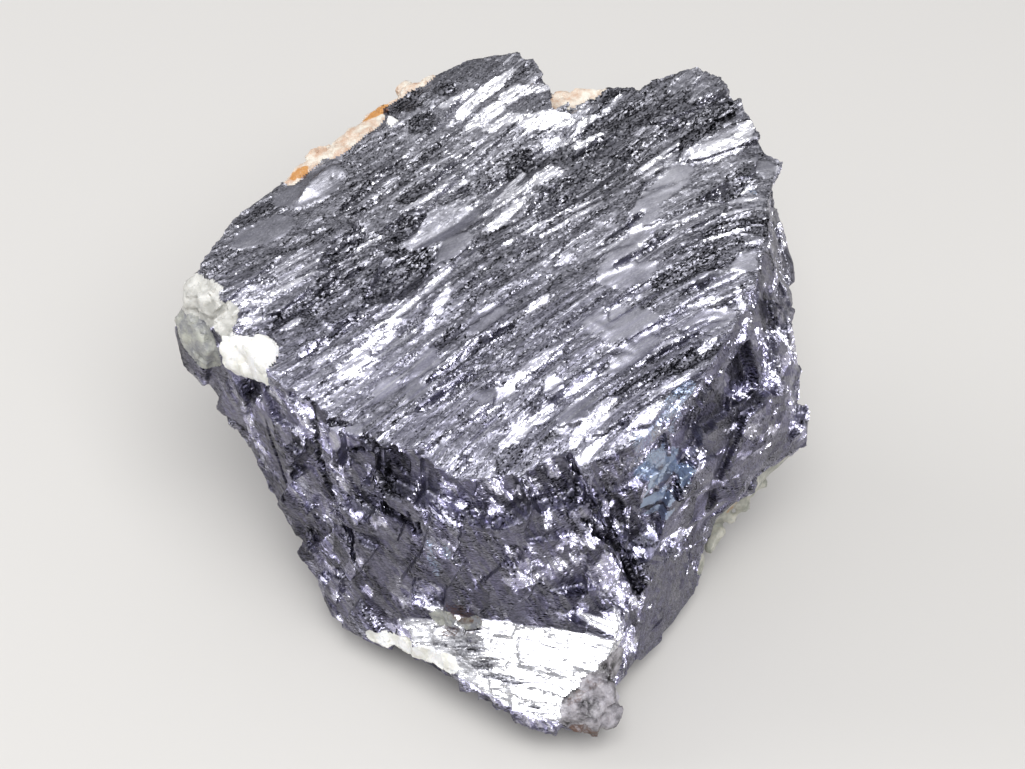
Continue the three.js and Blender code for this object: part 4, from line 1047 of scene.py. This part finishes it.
def break_up(skin, sizes):
    """Works out the relief and the marks of every point, then moves the points along their normals."""
    points = skin.points
    skin.top, skin.shelf = zones(skin)
    skin.kind = gangue_kind(skin)
    side = np.clip(1 - skin.top - skin.shelf, 0, 1)
    shares = (skin.top, side, skin.shelf)
    normals = skin.soft_normals(FACE_ROUNDS)
    surfaces = (
        sheared_top(points, sizes), broken_side(points, normals, sizes), cleaved_shelf(points, sizes)
    )
    ore = {
        name: sum(share * surface[name] for share, surface in zip(shares, surfaces))
        for name in ("relief", "tone", "flash", "even")
    }
    most = np.argmax(shares, axis=0)[:, None]
    ore["grain"] = np.choose(most, [surface["grain"] for surface in surfaces])
    skin.marks = ore_marks(skin, side, ore)

    seam = kind_cover(skin, "seam", STONE_ROUNDS)
    bare = skin.softened((skin.kind < 0).astype(float), ORE_ROUNDS)[:, 0]
    relief = bare * ore["relief"] + (1 - bare) * stone_relief(skin, seam)
    relief *= smooth_step(*FOOT_FADE, points[:, 2])
    rounded = points + seam[:, None] * (skin.softened(points, SEAM_ROUNDS) - points)
    rounded = pared(flattened(rounded, skin.soft_normals(FACING_ROUNDS)))
    skin.points = rounded + skin.soft_normals(RELIEF_ROUNDS) * relief[:, None]


# ----------------------------------------
# Pieces
# ----------------------------------------

# Pieces of the ore, then those of the gangue in the order of KINDS.
PIECES = (
    "galena_top", "galena_shelf", "galena_left_front", "galena_right_front", "galena_back_left",
    "galena_back_right", "galena_underside",
    "quartz_cap", "clear_quartz", "white_spar", "stained_crust", "stony_tip", "pale_seam",
)
ORE_PIECES = 7

# Where the pieces of the sides part: left from right at an x, front from back at a y that moves with x,
# and both from the underside at a height.
MIDDLE_X = 3
BACK_Y = -1
BACK_SLOPE = 0.12
FOOT_HEIGHT = 0.4

# Edges that bend more than this many degrees are shaded sharp.
SHARP_ANGLE = 25


def piece_numbers(skin):
    """Number of the piece that each square belongs to."""
    points = skin.points[skin.squares].mean(axis=1)
    kind = np.sort(skin.kind[skin.squares], axis=1)[:, 2]
    left, right = PIECES.index("galena_left_front"), PIECES.index("galena_right_front")
    number = np.where(points[:, 0] > MIDDLE_X, right, left)
    number[points[:, 1] > BACK_SLOPE * points[:, 0] + BACK_Y] += PIECES.index("galena_back_left") - left
    number[points[:, 2] < FOOT_HEIGHT] = PIECES.index("galena_underside")
    number[skin.top[skin.squares].mean(axis=1) > 0.5] = PIECES.index("galena_top")
    number[skin.shelf[skin.squares].mean(axis=1) > 0.5] = PIECES.index("galena_shelf")
    number[kind >= 0] = ORE_PIECES + kind[kind >= 0]
    return number


def make_piece(name, skin, chosen, material):
    """One piece of the skin as an object, with its marks as attributes."""
    used, local = np.unique(skin.squares[chosen], return_inverse=True)
    local = local.reshape(-1, 4)
    mesh = bpy.data.meshes.new(name)
    mesh.vertices.add(len(used))
    mesh.vertices.foreach_set("co", (skin.points[used] * MM).ravel())
    mesh.loops.add(local.size)
    mesh.loops.foreach_set("vertex_index", local.ravel())
    mesh.polygons.add(len(local))
    mesh.polygons.foreach_set("loop_start", np.arange(0, local.size, 4))
    mesh.update(calc_edges=True)
    for name_of_mark, values in skin.marks.items():
        kind, field = ("FLOAT", "value") if values.ndim == 1 else ("FLOAT_VECTOR", "vector")
        attribute = mesh.attributes.new(name_of_mark, kind, "POINT")
        attribute.data.foreach_set(field, values[used].astype(np.float32).ravel())
    mesh.validate()
    mesh.materials.append(material)
    mesh.set_sharp_from_angle(angle=math.radians(SHARP_ANGLE))
    piece = bpy.data.objects.new(name, mesh)
    bpy.context.scene.collection.objects.link(piece)
    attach(piece, "root")
    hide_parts(LUMP)
    return piece


_skins = {}


def broken_skin():
    """The skin with its relief and the piece number of each square, made once for a set of sizes."""
    sizes = bpy.context.scene.galena_sizes
    key = tuple(getattr(sizes, name) for name in sizes.__annotations__)
    if key not in _skins:
        _skins.clear()
        skin = even_skin(sizes.skin_step)
        break_up(skin, sizes)
        _skins[key] = skin, piece_numbers(skin)
    return _skins[key]


def lay_pieces(first, last, material_of):
    """The pieces from first up to last, each with the material that its name asks for."""
    skin, numbers = broken_skin()
    for number in range(first, last):
        chosen = numbers == number
        if not chosen.any():
            raise RuntimeError(f"no part of the skin is left for {PIECES[number]}")
        make_piece(PIECES[number], skin, chosen, material_of(PIECES[number]))


# ----------------------------------------
# Materials
# ----------------------------------------


def new_material(name):
    material = bpy.data.materials.new(name)
    material.use_nodes = True
    material.node_tree.nodes.clear()
    return material, material.node_tree


def add_node(tree, kind, settings=None, **inputs):
    """Adds a node.  settings are its own properties; an input is a value or another node's output."""
    node = tree.nodes.new(kind)
    for key, value in (settings or {}).items():
        setattr(node, key, value)
    for key, value in inputs.items():
        numbered = key[0] == "i" and key[1:].isdigit()
        socket = node.inputs[int(key[1:]) if numbered else key.replace("_", " ")]
        if isinstance(value, bpy.types.NodeSocket):
            tree.links.new(value, socket)
        else:
            socket.default_value = value
    return node


def mark(tree, name, output="Fac"):
    """One of the marks that the skin carries."""
    return add_node(tree, "ShaderNodeAttribute", {"attribute_name": name}).outputs[output]


def math_node(tree, operation, first, second, third=0.0):
    node = add_node(tree, "ShaderNodeMath", {"operation": operation}, i0=first, i1=second, i2=third)
    return node.outputs[0]


def vector_node(tree, operation, **inputs):
    return add_node(tree, "ShaderNodeVectorMath", {"operation": operation}, **inputs).outputs[0]


def ranged(tree, value, low=0.0, high=1.0, start=0.0, end=1.0):
    """A value carried from the range low to high over to the range start to end."""
    node = add_node(
        tree, "ShaderNodeMapRange", Value=value, From_Min=low, From_Max=high, To_Min=start, To_Max=end
    )
    return node.outputs[0]


def mixed_color(tree, share, first, second, blend="MIX"):
    """A first colour, with as much of the second laid over it as share says."""
    node = add_node(
        tree, "ShaderNodeMix", {"data_type": "RGBA", "blend_type": blend}, i0=share, i6=first, i7=second
    )
    return node.outputs[2]


def ramped(tree, value, low, high, *between):
    """The colour of a value: low at 0, high at 1, and others at their places between."""
    ramp = add_node(tree, "ShaderNodeValToRGB", Fac=value)
    stops = ramp.color_ramp.elements
    stops[0].position, stops[0].color = 0.0, (*low, 1)
    stops[1].position, stops[1].color = 1.0, (*high, 1)
    for place, color in between:
        stops.new(place).color = (*color, 1)
    return ramp.outputs["Color"]


# The way that the flashing cleavage face points, the same all over the lump.
FLASH_WAY = (0.07, -0.53, 0.845)

# Grains of the ore, each a Voronoi cell that lies along the laths: length, width and depth in
# millimetres, how steeply the grains lean, and how much they differ in tone.
SPECKS = ((0.18, 0.09, 0.12), 0.26, 0.5)
GRAINS = ((0.6, 0.14, 0.3), 0.3, 0.2)
NEEDLES = ((5.5, 0.13, 0.8), 0.14, 0.16)
CELLS = (SPECKS, GRAINS, NEEDLES)

# How much the draw of a grain moves the edge of a soft cover, and where the moved cover is cut off.
TORN_SHARE = 0.6
TORN_CUT = (0.72, 0.88)

# How much of the unevenness an even place loses.
EVENED = 0.55

# Share of each size of grain in the draw for a flash, and how softly that draw is cut.
FLASH_SHARES = (0.28, 0.3, 0.42)
FLASH_EDGE = 0.06

# Draws of the specks that spark and of the needles that show as bright strands, and how strongly; as
# flashes they also lighten the colour as painted highlights.
SPARK_DRAWS = (0.89, 0.97)
SPARK_STRENGTH = 0.8
STRAND_DRAWS = (0.06, 0.035)
STRAND_STRENGTH = 0.65

# Least and most of the turn of a flashing grain, of the violet in it, and how much a flash lightens its
# colour, a painted highlight over the turned normal.
TURN_RANGE = (0.65, 1.1)
VIOLET_RANGE = (0.2, 0.7)
FLASH_LIGHT = 0.35

# Tone of plain lead grey, share of the ore that tarnish and rust hide, and roughness by tone, dark first.
LEAD_TONE = 0.45
FILM_SHARE = 0.75
ORE_ROUGHNESS = (0.46, 0.27)


def galena_material(colors):
    """Galena, lead sulphide with a metallic lustre, broken along its cube cleavage.

    Each grain is a small flat mirror that leans its own way, so the ore sparkles; where many grains of
    a lath or a cleavage face turn to the light it goes almost white, and between them it looks lead grey.
    The tone mark and every flash also lighten or darken the colour itself, as painted highlights and
    painted shade.
    """
    material, tree = new_material("galena cleavage")
    places = mark(tree, "grain", "Vector")
    cells, draws = [], []
    for size, _, _ in CELLS:
        scaled = add_node(tree, "ShaderNodeMapping", Vector=places, Scale=[1 / side for side in size])
        cell = add_node(tree, "ShaderNodeTexVoronoi", Vector=scaled.outputs[0], Scale=1.0)
        cells.append(cell.outputs["Color"])
        draws.append(add_node(tree, "ShaderNodeSeparateColor", Color=cells[-1]).outputs)
    speck, grain, needle = draws

    def torn(name, draw):
        """A soft mark cut off sharply along the edges of the grains."""
        moved = math_node(tree, "MULTIPLY_ADD", draw, TORN_SHARE, mark(tree, name))
        return ranged(tree, moved, *TORN_CUT)

    unevenness = math_node(tree, "MULTIPLY_ADD", torn("even", grain["Green"]), -EVENED, 1.0)

    # A grain flashes when its draw, shared between the three sizes, falls under the chance at its place.
    draw = 0.0
    for channels, share in zip(draws, FLASH_SHARES):
        draw = math_node(tree, "MULTIPLY_ADD", channels["Red"], share, draw)
    margin = math_node(tree, "SUBTRACT", mark(tree, "flash"), draw)
    flashes = ranged(tree, margin, -FLASH_EDGE, FLASH_EDGE)
    sparks = ranged(tree, speck["Blue"], *SPARK_DRAWS, 0.0, SPARK_STRENGTH)
    sparks = math_node(tree, "MULTIPLY", sparks, unevenness)
    strands = ranged(tree, needle["Red"], *STRAND_DRAWS, 0.0, STRAND_STRENGTH)
    strands = math_node(tree, "MULTIPLY", strands, mark(tree, "strand"))
    flashes = math_node(tree, "MAXIMUM", flashes, math_node(tree, "MAXIMUM", sparks, strands))

    # The flashing grains turn to the one cleavage face that mirrors the light, and every grain leans.
    straight = add_node(tree, "ShaderNodeNewGeometry").outputs["Normal"]
    strength = ranged(tree, needle["Green"], 0.0, 1.0, *TURN_RANGE)
    turned = math_node(tree, "MULTIPLY", flashes, strength)
    turned = math_node(tree, "MULTIPLY", turned, mark(tree, "turn"))
    normal = add_node(
        tree, "ShaderNodeMix", {"data_type": "VECTOR"}, i0=turned, i4=straight, i5=FLASH_WAY,
    ).outputs[1]
    for cell, (_, steepness, _) in zip(cells, CELLS):
        centred = vector_node(tree, "SUBTRACT", i0=cell, i1=(0.5, 0.5, 0.5))
        share = math_node(tree, "MULTIPLY", unevenness, steepness)
        lean = vector_node(tree, "SCALE", i0=centred, Scale=share)
        normal = vector_node(tree, "ADD", i0=normal, i1=lean)
    normal = vector_node(tree, "NORMALIZE", i0=normal)

    # Each grain is a little lighter or darker than the tone under it.
    shift = 0.0
    for channels, (_, _, spread) in zip(draws, CELLS):
        centred = math_node(tree, "SUBTRACT", channels["Green"], 0.5)
        shift = math_node(tree, "MULTIPLY_ADD", centred, spread, shift)
    # The tone mark carries painted highlights and painted shade besides the ore's own tone, and a flash
    # lightens the colour further as a painted highlight.
    toned = math_node(tree, "MULTIPLY_ADD", shift, unevenness, mark(tree, "tone"))
    toned = math_node(tree, "MULTIPLY_ADD", flashes, FLASH_LIGHT, toned)
    color = ramped(tree, toned, colors.ore_dark, colors.ore_painted_highlight, (LEAD_TONE, colors.ore_lead))

    # Over it lie a violet glint, the blue tarnish and the rust.
    violet = ranged(tree, needle["Blue"], 0.0, 1.0, *VIOLET_RANGE)
    violet = math_node(tree, "MULTIPLY", violet, mark(tree, "violet"))
    color = mixed_color(tree, violet, color, (*colors.glint, 1), "MULTIPLY")
    films = (("blue", speck["Blue"], colors.tarnish), ("rust", speck["Green"], colors.rust))
    for name, draw, film in films:
        cover = math_node(tree, "MULTIPLY", torn(name, draw), FILM_SHARE)
        color = mixed_color(tree, cover, color, (*film, 1))
    shader = add_node(
        tree, "ShaderNodeBsdfPrincipled", Base_Color=color, Metallic=1.0,
        Roughness=ranged(tree, toned, 0.0, 1.0, *ORE_ROUGHNESS), Normal=normal,
    )
    add_node(tree, "ShaderNodeOutputMaterial", Surface=shader.outputs[0])
    return material


# Gangue: the mineral, its first colour and its stain in GalenaColors, its second colour, the size of its
# clouds in millimetres and its roughness.
STONES = {
    # Milky quartz makes a white cap with soft grey clouds and a faint shine.
    "quartz_cap": ("quartz, milky", "quartz", "rust", "#b4b3ad", 1.6, 0.3),
    # Smoky quartz is greyer and glassier, as if dark ore showed through it.
    "clear_quartz": ("quartz, smoky", "clear", "rust", "#b1b2a8", 1.4, 0.2),
    # Snow white calcite gives the whitest spots of the lump, with a trace of cream.
    "white_spar": ("calcite, snow white", "spar", "rust", "#ecebe2", 1.2, 0.35),
    # The crust is a dull cream rind, orange where ochre soaked in.
    "stained_crust": ("calcite crust", "crust", "ochre", "#c9ab94", 1.1, 0.4),
    # The stony tip is a dark brown with pale grey patches and a wet shine.
    "stony_tip": ("gangue, grey brown", "tip_stone", "rust", "#b6b2b8", 1.5, 0.2),
    # Greenish calcite makes a dull grey vein with pale patches.
    "pale_seam": ("calcite, greenish", "seam", "ochre", "#c6c4b9", 1.2, 0.4),
}

# Where the clouds of a stone change from one colour to the other, and where a stain starts and is full.
CLOUD_EDGE = (0.38, 0.62)
STAIN_EDGE = (0.8, 1.2)
STAIN_STRENGTH = 0.9

# Grit of the clouds and flecks, size of the flecks in millimetres, strength and depth of their bumps.
STONE_GRIT = 0.6
FLECK_SIZE = 0.35
FLECK_STRENGTH = 0.6
FLECK_DEPTH = 0.2

# How much light goes into a stone, how far in millimetres, and how far of that each colour gets.
GLOW = 0.25
GLOW_DEPTH = 0.8
GLOW_REACH = (1, 0.9, 0.8)


def stone_material(colors, name, base, stain, second, cloud_size, roughness):
    """Gangue grown in lumps: pale and waxy, so that light goes a little way in."""
    material, tree = new_material(name)
    place = add_node(tree, "ShaderNodeTexCoord").outputs["Object"]

    def noise(size, detail):
        node = add_node(
            tree, "ShaderNodeTexNoise", Vector=place, Scale=1 / (size * MM), Detail=detail,
            Roughness=STONE_GRIT,
        )
        return node.outputs["Fac"]

    flecks = noise(FLECK_SIZE, 3.0)
    clouds = ranged(tree, noise(cloud_size, 5.0), *CLOUD_EDGE)
    color = mixed_color(tree, clouds, (*getattr(colors, base), 1), (*hex_color(second), 1))
    torn = math_node(tree, "ADD", mark(tree, "rust"), flecks)
    spread = ranged(tree, torn, *STAIN_EDGE, 0.0, STAIN_STRENGTH)
    color = mixed_color(tree, spread, color, (*getattr(colors, stain), 1))
    bump = add_node(
        tree, "ShaderNodeBump", Height=flecks, Strength=FLECK_STRENGTH, Distance=FLECK_DEPTH * MM
    )
    shader = add_node(
        tree, "ShaderNodeBsdfPrincipled", Base_Color=color, Roughness=roughness, Normal=bump.outputs[0],
        Subsurface_Weight=GLOW, Subsurface_Radius=GLOW_REACH, Subsurface_Scale=GLOW_DEPTH * MM,
    )
    add_node(tree, "ShaderNodeOutputMaterial", Surface=shader.outputs[0])
    return material


# ----------------------------------------
# Operators
# ----------------------------------------


class GALENA_OT_stage(bpy.types.Operator):
    """Lay the floor, hang the lights and set up the camera"""

    bl_idname = "galena.stage"
    bl_label = "Stage"

    def execute(self, context):
        settings = context.scene.galena_stage
        lay_floor(settings)
        hang_lights(settings)
        place_camera()
        return {"FINISHED"}


class GALENA_OT_ore(bpy.types.Operator):
    """Build the sheared top, the broken sides, the cleavage shelf and the underside of the ore"""

    bl_idname = "galena.ore"
    bl_label = "Ore"

    def execute(self, context):
        material = galena_material(context.scene.galena_colors)
        lay_pieces(0, ORE_PIECES, lambda name: material)
        return {"FINISHED"}


class GALENA_OT_gangue(bpy.types.Operator):
    """Build the quartz, the white spar, the stained crust, the stony tip and the pale seam"""

    bl_idname = "galena.gangue"
    bl_label = "Gangue"

    def execute(self, context):
        colors = context.scene.galena_colors
        lay_pieces(ORE_PIECES, len(PIECES), lambda name: stone_material(colors, *STONES[name]))
        return {"FINISHED"}


class GALENA_PT_panel(bpy.types.Panel):
    """Sizes, colours and steps of the galena specimen"""

    bl_idname = "GALENA_PT_panel"
    bl_label = "Galena specimen"
    bl_space_type = "VIEW_3D"
    bl_region_type = "UI"
    bl_category = "Galena"

    def draw(self, context):
        scene = context.scene
        for group in (scene.galena_sizes, scene.galena_colors, scene.galena_stage):
            for name in group.__annotations__:
                self.layout.prop(group, name)
        for operator in (GALENA_OT_stage, GALENA_OT_ore, GALENA_OT_gangue):
            self.layout.operator(operator.bl_idname)


# ----------------------------------------
# Stage.  Places and sizes are in millimetres.
# ----------------------------------------

# Camera: what it looks at, and how far away, how high in degrees and with what lens.
AIM = (1.5, 5.95, 14)
CAMERA_DISTANCE = 230
CAMERA_ELEVATION = 50
LENS = 85
SENSOR = 36

FLOOR_SIZE = 3000
FLOOR_ROUGHNESS = 0.9

# Square soft lights: place and side.  Both are turned to the middle of the specimen.
KEY_LIGHT = ((60, -180, 420), 300)
FILL_LIGHT = ((-420, 120, 260), 260)
LIT_PLACE = (0, 0, 20)

# Light of the surroundings, at the horizon and straight up.
SKY_LOW = (0.14, 0.14, 0.15)
SKY_HIGH = (0.75, 0.75, 0.78)


def lay_floor(settings):
    mesh = bpy.data.meshes.new("floor")
    half = FLOOR_SIZE * MM / 2
    corners = [(x * half, y * half, 0) for x, y in ((-1, -1), (1, -1), (1, 1), (-1, 1))]
    mesh.from_pydata(corners, [], [(0, 1, 2, 3)])
    floor = bpy.data.objects.new("floor", mesh)
    bpy.context.scene.collection.objects.link(floor)
    material, tree = new_material("matt painted board")
    shader = add_node(
        tree, "ShaderNodeBsdfPrincipled", Base_Color=(*settings.floor, 1), Roughness=FLOOR_ROUGHNESS
    )
    add_node(tree, "ShaderNodeOutputMaterial", Surface=shader.outputs[0])
    mesh.materials.append(material)


def soft_light(name, place, size, power):
    light = bpy.data.lights.new(name, "AREA")
    light.size = size * MM
    light.energy = power
    lamp = bpy.data.objects.new(name, light)
    lamp.location = Vector(place) * MM
    lamp.rotation_mode = "QUATERNION"
    lamp.rotation_quaternion = (Vector(LIT_PLACE) * MM - lamp.location).to_track_quat("-Z", "Y")
    bpy.context.scene.collection.objects.link(lamp)


def hang_lights(settings):
    """The two soft lights, and a sky that is brighter overhead."""
    soft_light("key", *KEY_LIGHT, settings.key_power)
    soft_light("fill", *FILL_LIGHT, settings.fill_power)
    world = bpy.data.worlds.new("studio")
    world.use_nodes = True
    tree = world.node_tree
    tree.nodes.clear()
    way = add_node(tree, "ShaderNodeTexCoord").outputs["Generated"]
    parts = add_node(tree, "ShaderNodeSeparateXYZ", Vector=way)
    sky = ramped(tree, parts.outputs["Z"], SKY_LOW, SKY_HIGH)
    back = add_node(tree, "ShaderNodeBackground", Color=sky, Strength=1.0)
    add_node(tree, "ShaderNodeOutputWorld", Surface=back.outputs[0])
    bpy.context.scene.world = world
    bpy.context.scene.view_settings.view_transform = "Standard"


def place_camera():
    camera = bpy.data.cameras.new("camera")
    camera.lens = LENS
    camera.sensor_width = SENSOR
    eye = bpy.data.objects.new("camera", camera)
    elevation = math.radians(CAMERA_ELEVATION)
    back = Vector((0, -math.cos(elevation), math.sin(elevation)))
    eye.location = (Vector(AIM) + back * CAMERA_DISTANCE) * MM
    eye.rotation_mode = "QUATERNION"
    eye.rotation_quaternion = (-back).to_track_quat("-Z", "Y")
    bpy.context.scene.collection.objects.link(eye)
    bpy.context.scene.camera = eye


# ----------------------------------------
# Registration and run
# ----------------------------------------

CLASSES = (
    GalenaSizes, GalenaColors, StageSettings,
    GALENA_OT_stage, GALENA_OT_ore, GALENA_OT_gangue, GALENA_PT_panel,
)


def register():
    for made in CLASSES:
        bpy.utils.register_class(made)
    bpy.types.Scene.galena_sizes = bpy.props.PointerProperty(type=GalenaSizes)
    bpy.types.Scene.galena_colors = bpy.props.PointerProperty(type=GalenaColors)
    bpy.types.Scene.galena_stage = bpy.props.PointerProperty(type=StageSettings)


def unregister():
    del bpy.types.Scene.galena_stage
    del bpy.types.Scene.galena_colors
    del bpy.types.Scene.galena_sizes
    for made in reversed(CLASSES):
        bpy.utils.unregister_class(made)


def main():
    register()
    bpy.ops.galena.stage()
    bpy.ops.galena.ore()
    bpy.ops.galena.gangue()


if __name__ == "__main__":
    main()
